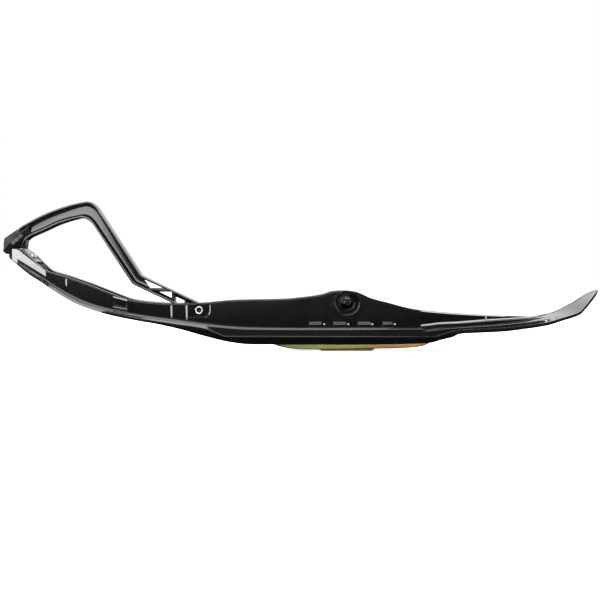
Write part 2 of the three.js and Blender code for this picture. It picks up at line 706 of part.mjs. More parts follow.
function carbideInsert() {
  const end = CARBIDE.startX + CARBIDE.length;
  const blade = plate(
    polygon([
      [CARBIDE.startX, 2.2], [CARBIDE.startX + 2.5, 0], [end - 4, 0],
      [end, 3], [end, CARBIDE.top], [CARBIDE.startX, CARBIDE.top],
    ]),
    -CARBIDE.halfWidth,
    CARBIDE.halfWidth,
  );
  return geometryOf(blade);
}

// ---------------------------------------------------------------- damper and decals

function damper() {
  const floor = 52 + GAP;
  const { startX, endX, halfWidth } = DAMPER;
  const shape = new THREE.Shape();
  shape.moveTo(startX, floor);
  shape.lineTo(endX, floor);
  shape.lineTo(endX - 3, floor + 17);
  shape.lineTo(endX - 17, floor + 19);
  shape.quadraticCurveTo(PIVOT.x + 22, 63, PIVOT.x, 63);
  shape.quadraticCurveTo(PIVOT.x - 22, 63, startX + 17, floor + 19);
  shape.lineTo(startX + 3, floor + 17);
  shape.closePath();
  return geometryOf(plate(shape, -halfWidth, halfWidth));
}

function decal(side) {
  const shape = polygon([
    [-527.5, 169.6], [-518, 162.6], [-518, 171.5], [-513.5, 168.6], [-466, 139], [-466, 148],
    [-517.5, 188.6], [-527.5, 189.4],
  ]);
  const low = WALL_OUTER_Y + GAP;
  const [y0, y1] = side < 0 ? [-low - DECAL_THICK, -low] : [low, low + DECAL_THICK];
  return geometryOf(plate(shape, y0, y1));
}

// ---------------------------------------------------------------- assembly

const MATERIALS = {
  skiBlack: { color: 0x141415, roughness: 0.45, metalness: 0 },
  loopCharcoal: { color: 0x3a3a3b, roughness: 0.6, metalness: 0 },
  blackSteel: { color: 0x1b1b1d, roughness: 0.35, metalness: 0.9 },
  zincSteel: { color: 0xc8cacc, roughness: 0.3, metalness: 1 },
  goldZinc: { color: 0xa9a05c, roughness: 0.35, metalness: 1 },
  carbide: { color: 0x6a5d50, roughness: 0.5, metalness: 0.8 },
  brass: { color: 0xb08d45, roughness: 0.35, metalness: 1 },
  bushingNylon: { color: 0x2a2a2c, roughness: 0.55, metalness: 0 },
  rubber: { color: 0x121212, roughness: 0.9, metalness: 0 },
  decalGrey: { color: 0xc0c0c0, roughness: 0.4, metalness: 0 },
};

const ski = new THREE.Group();

// Adds a named mesh of a geometry or a solid to the ski; at places it in x, y and z.
function addPiece(name, shape, look, at = [0, 0, 0]) {
  const geometry = shape.isBufferGeometry ? shape : geometryOf(shape);
  const mesh = new THREE.Mesh(geometry, new THREE.MeshStandardMaterial(MATERIALS[look]));
  mesh.name = name;
  mesh.position.set(...at);
  ski.add(mesh);
  return mesh;
}

const SIDES = { left: -1, right: 1 };
const atPivot = [PIVOT.x, 0, PIVOT.z];
const atLoopBolt = [LOOP_BOLT.x, 0, LOOP_BOLT.z];

addPiece("ski_body", skiBody(), "skiBlack");
addPiece("hand_loop", handLoop(), "loopCharcoal");

addPiece("pivot_bolt", pivotBolt(), "blackSteel", atPivot);
addPiece("pivot_nut", pivotNut(), "blackSteel", atPivot);
addPiece(
  "pivot_sleeve", ring(SLEEVE.outer, SLEEVE.bore, -SLEEVE.halfLength, SLEEVE.halfLength, 40),
  "zincSteel", atPivot
);
const washerNear = SLEEVE.halfLength + GAP;
const washerFar = washerNear + PIVOT_WASHER.thick;
addPiece(
  "pivot_bolt_washer", ring(PIVOT_WASHER.outer, PIVOT_WASHER.bore, -washerFar, -washerNear),
  "blackSteel", atPivot
);
addPiece(
  "pivot_nut_washer", ring(PIVOT_WASHER.outer, PIVOT_WASHER.bore, washerNear, washerFar),
  "blackSteel", atPivot
);
for (const [name, side] of Object.entries(SIDES)) {
  addPiece(`pivot_bushing_${name}`, pivotBushing(side), "bushingNylon", atPivot);
}

const seatEnd = LOOP_SEAT + LOOP_WASHER.thick;
addPiece("loop_bolt", loopBolt(), "zincSteel", atLoopBolt);
addPiece("loop_nut", loopNut(), "zincSteel", atLoopBolt);
addPiece(
  "loop_bolt_washer", ring(LOOP_WASHER.outer, LOOP_WASHER.bore, LOOP_SEAT, seatEnd, 24),
  "blackSteel", atLoopBolt
);
addPiece(
  "loop_nut_washer", ring(LOOP_WASHER.outer, LOOP_WASHER.bore, -seatEnd, -LOOP_SEAT, 24),
  "blackSteel", atLoopBolt
);
const spacerEnd = LOOP_BOSS.halfWidth + 0.2;
addPiece(
  "loop_spacer", ring(LOOP_SPACER.outer, LOOP_SPACER.bore, -spacerEnd, spacerEnd, 28),
  "zincSteel", atLoopBolt
);
for (const [name, side] of Object.entries(SIDES)) {
  const y = side * FOOT_SCREW.y;
  addPiece(`loop_foot_screw_${name}`, ontoFoot(footScrew(), y), "zincSteel");
  const insert = solidOf(ring(INSERT.outer, INSERT.bore, -INSERT.length, -0.4, 24));
  addPiece(`screw_insert_${name}`, ontoFoot(insert, y), "brass");
}

addPiece("wear_bar", wearBar(), "goldZinc");
addPiece("carbide_insert", carbideInsert(), "carbide");
for (const [name, x] of Object.entries(STUD.xs)) {
  const washerTop = STUD_WELL.floor + GAP + STUD_WASHER.thick;
  addPiece(`wear_bar_stud_${name}`, rodZ(STUD.radius, BAR.top + GAP, STUD.top, x), "goldZinc");
  const washer = ring(STUD_WASHER.outer, STUD_WASHER.bore, STUD_WELL.floor + GAP, washerTop, 24);
  addPiece(`stud_washer_${name}`, washer.rotateX(Math.PI / 2), "zincSteel", [x, 0, 0]);
  const nut = hexagon(STUD_NUT.acrossFlats, washerTop + GAP, washerTop + GAP + STUD_NUT.thick);
  const threaded = geometryOf(nut.subtract(shank(STUD.radius + GAP, 0, 100)));
  addPiece(`stud_nut_${name}`, threaded.rotateX(Math.PI / 2), "zincSteel", [x, 0, 0]);
}

addPiece("spindle_damper", damper(), "rubber");
for (const [name, side] of Object.entries(SIDES)) {
  addPiece(`tip_decal_${name}`, decal(side), "decalGrey");
}

export default ski;
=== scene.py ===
"""The looks of a snowmobile ski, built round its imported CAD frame.

Lengths are in millimetres, except in the studio where a comment says metres.
"""

import math

import bmesh
import bpy
from mathutils import Matrix, Vector


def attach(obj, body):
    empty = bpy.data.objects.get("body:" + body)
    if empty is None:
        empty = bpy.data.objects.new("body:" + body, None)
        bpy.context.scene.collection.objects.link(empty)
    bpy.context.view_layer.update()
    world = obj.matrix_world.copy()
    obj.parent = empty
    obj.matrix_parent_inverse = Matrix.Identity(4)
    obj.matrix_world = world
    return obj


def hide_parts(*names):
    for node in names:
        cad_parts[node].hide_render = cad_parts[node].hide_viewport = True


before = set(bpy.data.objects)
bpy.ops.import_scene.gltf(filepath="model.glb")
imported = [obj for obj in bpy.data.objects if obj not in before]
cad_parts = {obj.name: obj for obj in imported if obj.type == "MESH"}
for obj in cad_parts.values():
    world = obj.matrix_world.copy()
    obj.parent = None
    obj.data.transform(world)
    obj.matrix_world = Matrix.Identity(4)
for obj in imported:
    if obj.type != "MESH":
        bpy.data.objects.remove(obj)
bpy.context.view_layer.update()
MM = 0.001

# ---------------------------------------- dimensions shared with the CAD

TIP_X, TAIL_X = -541.0, 555.0
WALL_START_X, FLANGE_START_X = -528.0, -517.0
SADDLE_END_X, RAILS_MEET_X = 222.0, 433.0
WALL_OUTER, WALL_INNER = 36.0, 27.0
RAIL_OUTER, RAIL_THICK = 31.0, 7.5
PIVOT = (87.0, 91.0)
BOLT = (-185.0, 77.6)
PIVOT_AT, BOLT_AT = (PIVOT[0], 0, PIVOT[1]), (BOLT[0], 0, BOLT[1])
LOOP_HALF = 15.0
FOOT_X, FOOT_SLOPE, FOOT_THICK = -500.0, math.radians(38.5), 3.8
STUD_XS = (-20.0, 92.0, 204.0)
RIB_XS = (-429.0, -236.0, -208.0)
GUSSET_SPANS = ((16, 40), (61, 85), (106, 130), (151, 170))
PIP_XS = (42.6, 86.6, 130.6, 171.8)
SCREW_Y = 12.0
PANEL_BEADS = (((-343, 102), (-317, 95)), ((-343, 84), (-317, 79.5)), ((-343, 79.5), (-317, 75)))


def curve_through(points):
    """A smooth curve through (x, value) points that never overshoots them."""
    secants = [(b[1] - a[1]) / (b[0] - a[0]) for a, b in zip(points, points[1:])]
    slopes = []
    for i in range(len(points)):
        before = secants[max(0, i - 1)]
        after = secants[min(i, len(secants) - 1)]
        slopes.append(2 * before * after / (before + after) if before * after > 0 else 0.0)

    def value(x):
        if x <= points[0][0]:
            return points[0][1]
        if x >= points[-1][0]:
            return points[-1][1]
        i = next(k for k in range(len(points)) if points[k][0] > x) - 1
        (x0, v0), (x1, v1) = points[i], points[i + 1]
        h = x1 - x0
        t = (x - x0) / h
        return (
            v0 * (1 + 2 * t) * (1 - t) ** 2
            + slopes[i] * h * t * (1 - t) ** 2
            + v1 * t * t * (3 - 2 * t)
            + slopes[i + 1] * h * t * t * (t - 1)
        )

    return value


wall_top = curve_through([
    (-528, 191), (-517, 190), (-466, 150), (-441, 142.5), (-395, 127), (-341, 106), (-314, 96.6),
    (-277, 91.8), (-238, 89.6), (-187, 90.4), (-123, 95.6), (-92, 96.4), (-28, 97.8), (0, 100.4),
    (26, 103.5), (44, 107), (60, 112), (81, 113.3), (100, 111.8), (133, 98.6), (158, 92), (222, 77),
    (341, 68), (433, 64.6)])
deck_top = curve_through([
    (-541, 182), (-528, 172), (-517, 164.5), (-469, 134.8), (-436, 112), (-390, 90), (-343, 77),
    (-315, 71.5), (-236, 60.6), (-156, 50.8), (-92, 46), (0, 45), (222, 46), (260, 51), (340, 57),
    (433, 63), (450, 66), (474, 72.6), (500, 85.6), (525, 99), (555, 114.5)])
channel_floor = curve_through([
    (-541, 184.5), (-528, 185), (-517, 183.5), (-486, 159), (-476, 146), (-469, 141.5), (-436, 119),
    (-390, 97), (-343, 83), (-315, 77.5), (-236, 66), (-156, 57), (-92, 52.5), (0, 52), (222, 52),
    (260, 54.5), (340, 60.5), (395, 63.4), (433, 63.8)])
edge_bottom = curve_through([
    (-541, 177), (-528, 168.8), (-517, 161), (-492, 142), (-470, 128), (-450, 114.5), (-431, 103),
    (-412, 92.5), (-385, 81.4), (-341, 68.5), (-289, 58.4), (-228, 49), (-165, 40.5), (-147, 33.4),
    (-135, 29), (241, 28.3), (258, 32.5), (275, 35.5), (302, 36.6), (367, 39.5), (409, 44.4),
    (445, 50), (478, 59.6), (507, 69.5), (520, 80), (530, 89.5), (545, 102), (555, 108.5)])
edge_face = curve_through([
    (-541, 4.5), (-200, 5), (-150, 2.5), (245, 2.5), (282, 5.4), (300, 7), (400, 6.5), (507, 5.3),
    (520, 6.5), (545, 6.5), (555, 5.5)])
plan_half_width = curve_through([
    (-541, 10), (-538, 20), (-534, 29), (-528, 36.15), (-517, 36.15), (-516.9, 44), (-490, 50),
    (-440, 55), (-380, 61), (-300, 68), (-200, 73), (-120, 75), (220, 75), (300, 73.5), (400, 69),
    (480, 64.5), (507, 62), (520, 55), (530, 46), (540, 35), (549, 20), (555, 6)])
# how late the flange's top falls towards its edge: the power of its share of the width
flange_turn = curve_through([(-541, 1.5), (-250, 1.6), (-130, 5), (230, 5), (300, 3), (555, 4)])
# where the flange's shoulder sits: how far out, how far down and how round
shoulder_out = curve_through([
    (-541, 0.5), (-475, 0.5), (-440, 0.95), (-200, 0.965), (-146, 0.978), (240, 0.978), (430, 0.96),
    (485, 0.6), (555, 0.6)])
shoulder_down = curve_through([
    (-541, 0.35), (-475, 0.35), (-440, 0.1), (-153, 0.04), (240, 0.04), (430, 0.05), (485, 0.58),
    (555, 0.6)])
shoulder_radius = curve_through([
    (-541, 40), (-475, 40), (-440, 3), (-146, 1.6), (230, 1.3), (400, 2), (440, 8), (485, 40), (555, 40)])
flange_lip = curve_through([
    (-541, 0.4), (-250, 0.6), (-130, 1.4), (240, 1.6), (320, 2.6), (430, 2.2), (470, 0.5), (555, 0.4)])
# the step along the flange beside the rails, and the height it starts with
flange_step = curve_through([(221, 0), (224, 4.4), (300, 6), (350, 6.2), (400, 4.2), (455, 0)])
ledge_rise = curve_through([(222, 0), (222.5, 2.5), (290, 0)])
# how far the flange has turned into the tail blade's even crown
tail_crown = curve_through([(425, 0), (455, 0.5), (485, 1)])
# how much higher the flange is at the foot of the wall than further out
foot_rise = curve_through([(-250, 0), (-140, -2.2), (222, -2.2), (222.5, 1.2), (430, 1.2), (470, 0)])
# how far the flange's edge leans back at its top
edge_lean = curve_through([(-475, 0), (-435, 1), (-385, 1), (-335, 0.35), (-290, 0)])
plate_thickness = curve_through([
    (-541, 6), (-350, 6.5), (-150, 9), (230, 9), (340, 8), (433, 6.5), (555, 6)])
keel_bottom = curve_through([
    (-541, 200), (-345, 72), (-280, 53.5), (-223, 40.5), (-175, 27), (-124, 15.5), (-88, 12), (100, 12),
    (237, 14.4), (269, 22), (286, 26.3), (294, 30.6), (311, 33.4), (335, 38.5), (372, 50), (400, 70),
    (555, 200)])
bar_bottom = curve_through([
    (-50, 12.4), (-40, 8.6), (-17, 4.4), (7, 2.6), (40, 2.5), (139, 4.2), (187, 5.2), (212, 6.4),
    (226, 8.2), (240, 13)])
# how far the outer face of a side wall leans in at its top
wall_lean = curve_through([(-310, 0), (-180, 0.45), (222, 0.45)])

# ---------------------------------------- mesh tools


def make(name, verts, faces):
    """A linked object from millimetre points, its faces turned outwards."""
    mesh = bpy.data.meshes.new(name)
    mesh.from_pydata([(x * MM, y * MM, z * MM) for x, y, z in verts], [], faces)
    bm = bmesh.new()
    bm.from_mesh(mesh)
    bmesh.ops.remove_doubles(bm, verts=bm.verts, dist=1e-6)
    bmesh.ops.recalc_face_normals(bm, faces=bm.faces)
    bm.to_mesh(mesh)
    bm.free()
    obj = bpy.data.objects.new(name, mesh)
    bpy.context.scene.collection.objects.link(obj)
    return obj


def bake_modifiers(obj):
    """Applies an object's modifiers to its mesh."""
    deps = bpy.context.evaluated_depsgraph_get()
    mesh = bpy.data.meshes.new_from_object(obj.evaluated_get(deps))
    obj.modifiers.clear()
    obj.data = mesh
    return obj


def merge(parts):
    """One object that holds the meshes of several, which don't touch each other."""
    bm = bmesh.new()
    for part in parts:
        bm.from_mesh(part.data)
    bm.to_mesh(parts[0].data)
    bm.free()
    for part in parts[1:]:
        bpy.data.objects.remove(part)
    return parts[0]


def boolean(obj, tools, operation="DIFFERENCE"):
    """Cuts the tools from obj, or joins them to it, and removes them."""
    for tool in tools:
        mod = obj.modifiers.new("shape", "BOOLEAN")
        mod.object = tool
        mod.operation = operation
        mod.solver = "EXACT"
    bake_modifiers(obj)
    for tool in tools:
        bpy.data.objects.remove(tool)
    return obj


def bevelled(obj, width, segments=2, angle=35):
    mod = obj.modifiers.new("bevel", "BEVEL")
    mod.width = width * MM
    mod.segments = segments
    mod.limit_method = "ANGLE"
    mod.angle_limit = math.radians(angle)
    mod.use_clamp_overlap = True
    return bake_modifiers(obj)


def linear_through(points):
    """Straight lines between (x, value) points."""

    def value(x):
        if x <= points[0][0]:
            return points[0][1]
        for (x0, v0), (x1, v1) in zip(points, points[1:]):
            if x <= x1:
                return v0 + (v1 - v0) * (x - x0) / (x1 - x0)
        return points[-1][1]

    return value


def smooth(obj, angle=32):
    """Smooth shading with edges sharper than the angle kept crisp."""
    bm = bmesh.new()
    bm.from_mesh(obj.data)
    bmesh.ops.dissolve_degenerate(bm, edges=bm.edges, dist=2e-6)
    bm.to_mesh(obj.data)
    bm.free()
    obj.data.shade_smooth()
    obj.data.set_sharp_from_angle(angle=math.radians(angle))
    mod = obj.modifiers.new("normals", "WEIGHTED_NORMAL")
    mod.keep_sharp = True
    return bake_modifiers(obj)


def filleted(corners):
    """Points of an open outline whose corners are rounded. A corner is (y, z, radius, points)."""
    out = []
    for i, (y, z, radius, count) in enumerate(corners):
        p = Vector((y, z))
        if count == 1 or i in (0, len(corners) - 1):
            out.append(p)
            continue
        a = Vector(corners[i - 1][:2]) - p
        b = Vector(corners[i + 1][:2]) - p
        la, lb = max(a.length, 1e-5), max(b.length, 1e-5)
        a, b = a / la, b / lb
        half = 0.5 * math.acos(max(-0.9999, min(0.9999, a.dot(b))))
        reach = min(radius / math.tan(half), 0.47 * la, 0.47 * lb)
        for k in range(count):
            s = k / (count - 1)
            out.append(p + a * reach * (1 - s) ** 2 + b * reach * s * s)
    return out


def mirrored(half):
    """A half outline from its lowest centre point to its highest, with its mirror image added."""
    return half + [Vector((-p.x, p.y)) for p in reversed(half[1:-1])]


def skin(name, rings):
    """A closed skin over rings of the same number of points."""
    count = len(rings[0])
    faces = []
    for i in range(len(rings) - 1):
        for j in range(count):
            a, b = i * count + j, i * count + (j + 1) % count
            faces.append((a, b, b + count, a + count))
    last = (len(rings) - 1) * count
    faces.append(tuple(reversed(range(count))))
    faces.append(tuple(range(last, last + count)))
    return make(name, [tuple(p) for ring in rings for p in ring], faces)


def prism(name, outline, y0, y1):
    """A plate with an (x, z) outline between y0 and y1."""
    return skin(name, [[(x, y, z) for x, z in outline] for y in (y0, y1)])


# the turn that lays a shape's upright axis along Y, or leaves it along Z
AXIS_TURN = {"Y": Matrix.Rotation(-math.pi / 2, 3, "X"), "Z": Matrix.Identity(3)}


def lathe(name, profile, segments=64, axis="Y", at=(0, 0, 0)):
    """Turns a closed (radius, height) profile about an axis. Heights run along the axis."""
    verts, faces, index = [], [], []
    for r, h in profile:
        if r < 1e-6:
            index.append([len(verts)] * segments)
            verts.append((0, 0, h))
        else:
            index.append(list(range(len(verts), len(verts) + segments)))
            for k in range(segments):
                a = 2 * math.pi * k / segments
                verts.append((r * math.cos(a), r * math.sin(a), h))
    closed = profile[0][0] > 1e-6
    pairs = zip(index, index[1:] + (index[:1] if closed else []))
    for low, high in pairs:
        for k in range(segments):
            n = (k + 1) % segments
            corner = [low[k], low[n], high[n], high[k]]
            face = [v for i, v in enumerate(corner) if v not in corner[:i]]
            if len(face) > 2:
                faces.append(face)
    return make(name, [tuple(AXIS_TURN[axis] @ Vector(v) + Vector(at)) for v in verts], faces)


def rod(name, radius, y0, y1, x, z, segments=48):
    """A cylinder along Y."""
    return lathe(name, [(0, y0), (radius, y0), (radius, y1), (0, y1)], segments, "Y", (x, 0, z))


def hexagon(name, flats, h0, h1, axis="Y", at=(0, 0, 0), twist=0.0):
    """A hexagonal prism with a width across its flats, between two heights along its axis."""
    r = flats / math.sqrt(3)
    angles = [math.pi * k / 3 + twist for k in range(6)]
    verts = [(r * math.cos(a), r * math.sin(a), h) for h in (h0, h1) for a in angles]
    faces = [(k, (k + 1) % 6, (k + 1) % 6 + 6, k + 6) for k in range(6)]
    faces += [tuple(range(5, -1, -1)), tuple(range(6, 12))]
    return make(name, [tuple(AXIS_TURN[axis] @ Vector(v) + Vector(at)) for v in verts], faces)


def turned_hexagon(name, flats, h0, h1, axis="Y", at=(0, 0, 0), twist=0.0):
    """A hexagon whose corners are chamfered as on a real nut."""
    body = hexagon(name, flats, h0, h1, axis, at, twist)
    inner, outer = flats * 0.53, flats / math.sqrt(3) + 0.4
    drop = (outer - inner) * math.tan(math.radians(28))
    profile = [(0, h0), (inner, h0), (outer, h0 + drop), (outer, h1 - drop), (inner, h1), (0, h1)]
    return boolean(body, [lathe(name + "_cone", profile, 64, axis, at)], "INTERSECT")


def thread_profile(radius, h0, h1, pitch, depth):
    """(radius, height) points of a threaded shank from h0 to h1."""
    turns = max(1, int(abs(h1 - h0) / pitch))
    step = (h1 - h0) / turns
    out = []
    for k in range(turns):
        out += [(radius - depth, h0 + step * (k + 0.1)), (radius, h0 + step * (k + 0.5))]
    return out + [(radius - depth, h1)]


# ---------------------------------------- ski body


def wall_faces(x):
    """How far a side wall's, or a tail rail's, outer and inner faces are from the middle."""
    width = plan_half_width(x)
    if x <= SADDLE_END_X:
        outer = min(WALL_OUTER, width - 0.15)
        return outer, min(WALL_INNER, outer - 3)
    share = min(1.0, (x - SADDLE_END_X) / (RAILS_MEET_X - SADDLE_END_X))
    past = max(0.0, (x - RAILS_MEET_X) / (TAIL_X - RAILS_MEET_X))
    outer = min(RAIL_OUTER + (5 - RAIL_OUTER) * share, 5 - 3.5 * past + 100 * (1 - share))
    return outer, max(outer - RAIL_THICK, 0.28 * outer)


def floor_under(x):
    return channel_floor(x) if x <= RAILS_MEET_X else deck_top(x) + 0.3


def crest(x):
    """The height of the walls' and rails' tops, or just over the blade where there are none."""
    floor = floor_under(x)
    if x < WALL_START_X:
        return floor + 0.5
    if x <= RAILS_MEET_X:
        return max(wall_top(x), floor + 0.5)
    return deck_top(x) + 0.6 + max(0.0, 1 - (x - RAILS_MEET_X) / 60)


def flange_top(x, share):
    """The flange's height at a share of its width, from the wall to the edge."""
    edge = edge_bottom(x) + edge_face(x)
    return deck_top(x) - (deck_top(x) - edge) * share ** flange_turn(x)


def body_ring(x):
    """The cross section of the moulding."""
    width = plan_half_width(x)
    outer, inner = wall_faces(x)
    thick = plate_thickness(x)
    top, floor = crest(x), floor_under(x)
    edge, deck = edge_bottom(x), deck_top(x)
    under = deck - thick
    keel = min(keel_bottom(x), under - 0.4)
    root = min(13 + 0.45 * (under - keel), 0.42 * width)
    tall = top - deck
    lean = wall_lean(x) if x <= SADDLE_END_X else 0.1
    lean = min(lean, 0.15 * (outer - inner))
    round_top = min(2.6, (top - floor) / 3, (outer - inner) / 2.3)
    fall, across = (2.0, 0.8) if x <= SADDLE_END_X else (2.3, 2.4)
    tilt = edge_lean(x)
    fall, across = min(fall, 0.3 * tall), min(across, 0.6 * (outer - inner))
    span, lip, step = width - outer, min(flange_lip(x), 0.1 * (width - outer)), flange_step(x)
    ledge = deck + ledge_rise(x)
    low = deck - step - 0.3
    bead = min(1, span / 10) if x > SADDLE_END_X and x < 470 else 0.02
    edge_top = edge + edge_face(x)
    ledge_y = min(44, outer + 0.4 * span)
    # the tail blade's crown falls evenly from the middle to the edge
    fallen = tail_crown(x) * (low - edge_top) * (ledge_y - outer) / span
    shoulder = (outer + span * shoulder_out(x) - lip * 0.5, low - shoulder_down(x) * (low - edge_top))

    def below(y):
        return flange_top(x, max(0.0, (y - outer) / (width - outer))) - thick

    corners = [
        (0, keel, 0, 1),
        (min(10, 0.3 * width), keel, 2.5, 4),
        (root, under, 6, 4),
        (0.68 * width, min(below(0.68 * width), under), 8, 3),
        (0.87 * width, max(below(0.87 * width), edge + 0.8), 3, 3),
        (width * 0.93, edge, 0.8, 3),
        (width * (0.985 + 0.015 * tilt), edge, 0.8, 3),
        (width - 0.9 * tilt, edge_top, 0.9, 4),
        (width - max(lip, 1.4 * tilt), edge_top + 0.25 + 0.2 * lip, 0.5, 3),
        (*shoulder, shoulder_radius(x), 9),
        (ledge_y + 0.3, low + 0.1 - fallen, 0.5, 3),
        (ledge_y, ledge - 0.2 - fallen, 0.7, 4),
        (outer + 2.2 * bead, ledge + min(0, foot_rise(x)), min(1.0, span / 3), 3),
        (outer, ledge + foot_rise(x) + bead, min(1.0, span / 3), 3),
    ]
    for t in (0.25, 0.5, 0.75):
        corners.append((outer - lean * t * t, ledge + (top - fall - ledge) * t, 0, 1))
    corners += [
        (outer - lean, top - fall, min(1.2, round_top), 4),
        (outer - lean - across, top, min(1.2, round_top), 4),
        (inner, top, min(2, 0.3 * (outer - inner)), 4),
        (inner, floor, min(3.5, (top - floor) / 3, inner / 3), 4),
        (0, floor, 0, 1),
    ]
    return [(x, p.x, p.y) for p in mirrored(filleted(corners))]


def spaced(x0, x1, step):
    count = max(1, round((x1 - x0) / step))
    return [x0 + (x1 - x0) * k / count for k in range(count)]


def body_stations():
    """The places along the ski of its cross sections."""
    out = [TIP_X, -540, -538.6, -537, -535.5, -534, -532, -530, WALL_START_X - 0.3]
    out += spaced(WALL_START_X, FLANGE_START_X, 3.5) + [FLANGE_START_X]
    out += spaced(-516.9, SADDLE_END_X, 4.5) + [SADDLE_END_X]
    out += spaced(SADDLE_END_X + 0.4, 300, 4) + spaced(300, RAILS_MEET_X, 6) + [RAILS_MEET_X]
    out += spaced(RAILS_MEET_X + 0.5, 500, 4) + spaced(500, 548, 2.5) + [548, 550, 552, 553.6, TAIL_X]
    return out


def side_span(side, y0, y1):
    """y0 to y1 on the ski's right side, mirrored for its left side."""
    return (y0, y1) if side > 0 else (-y1, -y0)


def wall_rib(side, x):
    """An upright rib whose long flank slants towards the tip."""
    low, high = deck_top(x) + 2.5, wall_top(x) - 4
    base = WALL_OUTER - 3
    outline = [(x - 3, base), (x - 3, 35.3), (x + 1.8, 37.3), (x + 2.1, 36), (x + 2.1, base)]
    rings = [[(px, side * py, z) for px, py in outline] for z in (low, high)]
    return skin("rib", rings)


def rail_tick(side, x=345.0):
    """A small rib across a tail rail."""
    outer = wall_faces(x)[0]
    base = outer - 3
    outline = [(x - 1.8, base), (x - 1.8, outer - 0.5), (x + 1.2, outer + 1.5), (x + 2, outer - 0.4),
               (x + 2, base)]
    rings = [[(px, side * py, z) for px, py in outline] for z in (deck_top(x) - 1, crest(x) - 1.5)]
    return skin("tick", rings)


def gusset(side, x0, x1):
    """A block in the corner between a wall and the flange."""
    outline = [(33, 40.5), (44.3, 40.5), (44.3, 52.4), (42.6, 54.8), (38, 55.8), (33, 55.8)]
    rings = [[(x, side * y, z) for y, z in outline] for x in (x0, x1)]
    return bevelled(skin("gusset", rings), 1.0, 3, 20)


def gusset_pip(side, x):
    """A small chamfered block at the end of a gusset."""
    outline = [(33, 50), (43.8, 50), (43.8, 50.8), (41.4, 53.2), (33, 53.2)]
    return skin("pip", [[(px, side * y, z) for y, z in outline] for px in (x, x + 3.4)])


def wall_bead(side, left, right):
    """A thin raised bead that slopes with the wall. Ends given as (x, z)."""
    rings = []
    section = [(33.0, 1.1), (35.9, 1.1), (37.9, -0.9), (37.9, -1.4), (36.5, -1.9), (33.0, -1.9)]
    for x, z in (left, right):
        rings.append([(x, side * y, z + dz) for y, dz in section])
    return skin("bead", rings)


def panel_cutter(side):
    """The recess of the sloping panel in a side wall."""
    outline = [(-342, 87), (-342, 99), (-318, 91.5), (-318, 81.5)]
    return bevelled(prism("panel", outline, *side_span(side, 35.2, 40)), 0.5, 2)


def pocket_cutter(side):
    """The pocket round the loop's nut, wider at its mouth."""
    outline = [(-206, 64), (-178, 64)]
    for k in range(1, 9):
        s = k / 8
        outline.append(((1 - s) ** 2 * -178 + 2 * s * (1 - s) * -166 + s * s * -166,
                        (1 - s) ** 2 * 64 + 2 * s * (1 - s) * 66 + s * s * 80))
    outline += [(-166, 87.3), (-206, 87.3)]
    rings = []
    for y, grow in ((34.8, 0.0), (36.0, 2.4), (40.0, 10.4)):
        ring = []
        for x, z in outline:
            away = Vector((x + 190, z - 86))
            away = away * (1 + grow / max(away.length, 8)) if z > 65 and x > -200 else away
            ring.append((away.x - 190, side * y, min(away.y + 86, 87.3)))
        rings.append(ring)
    return skin("pocket", rings)


def recess_cutter(side, radius=21.5):
    """The round recess of the pivot, with a rounded floor edge and a flared mouth."""
    profile = [(0, 31), (radius - 0.7, 31), (radius, 31.7), (radius, 34.5),
               (radius, 36.4), (radius + 0.6, 36.8), (radius + 1.6, 37.1), (radius + 1.6, 60), (0, 60)]
    return lathe("recess", [(r, side * h) for r, h in profile], 96, "Y", PIVOT_AT)


def boss(side):
    """A raised disc round the recess, rounded at its rim."""
    outer = [(0, 33), (26.4, 33), (26.4, 36.5), (25.9, 37), (0, 37)]
    inner = [(0, 22), (24.6, 22), (25.6, 22.4), (26, 23.4), (26, 30), (0, 30)]
    at = (PIVOT[0], 0, PIVOT[1] - 5)
    return [lathe("boss", [(r, side * h) for r, h in profile], 96, "Y", at) for profile in (outer, inner)]


def on_foot(obj, y):
    """Moves an object built about the Y axis onto the loop's sloping foot."""
    place = (
        Matrix.Translation(Vector((FOOT_X, y, channel_floor(FOOT_X))) * MM)
        @ Matrix.Rotation(FOOT_SLOPE, 4, "Y")
        @ Matrix.Rotation(math.pi / 2, 4, "X")
    )
    obj.data.transform(place)
    return obj


def ski_body():
    body = skin("ski_moulding", [body_ring(x) for x in body_stations()])
    sides = (-1, 1)
    raised = [boss(s) for s in sides]
    added = [part for pair in raised for part in pair]
    added += [gusset(s, *span) for s in sides for span in GUSSET_SPANS]
    added += [gusset_pip(s, x) for s in sides for x in PIP_XS]
    added += [wall_rib(s, x) for s in sides for x in RIB_XS]
    added += [rail_tick(s) for s in sides]
    for ends in PANEL_BEADS:
        added += [wall_bead(s, *ends) for s in sides]
    boolean(body, [merge(added)], "UNION")
    first = [cutter(s) for s in sides for cutter in (recess_cutter, pocket_cutter, panel_cutter)]
    first.append(bevelled(prism("groove", [(-51, 5), (241, 5), (241, 15), (-51, 15)], -5.9, 5.9), 0.6, 2))
    first += [lathe("well", [(0, 38), (11, 38), (11, 60), (0, 60)], 48, "Z", (x, 0, 0)) for x in STUD_XS]
    first += [on_foot(rod("hole", 4.9, -15, 6, 0, 0, 32), s * SCREW_Y) for s in sides]
    boolean(body, [merge(first)])
    second = [rod("bore", 12.3, -45, 45, *PIVOT, 64)]
    nut_well = [(0, 32), (10.6, 32), (11.5, 32.8), (11.5, 40), (0, 40)]
    second += [lathe("nutwell", [(r, s * h) for r, h in nut_well], 48, "Y", BOLT_AT) for s in sides]
    stud_hole = [(0, 12), (4.6, 12), (4.6, 45), (0, 45)]
    second += [lathe("studhole", stud_hole, 32, "Z", (x, 0, 0)) for x in STUD_XS]
    boolean(body, [merge(second)])
    boolean(body, [rod("bolthole", 4.4, -50, 50, *BOLT, 32)])
    return smooth(body, 19)


# ---------------------------------------- hand loop


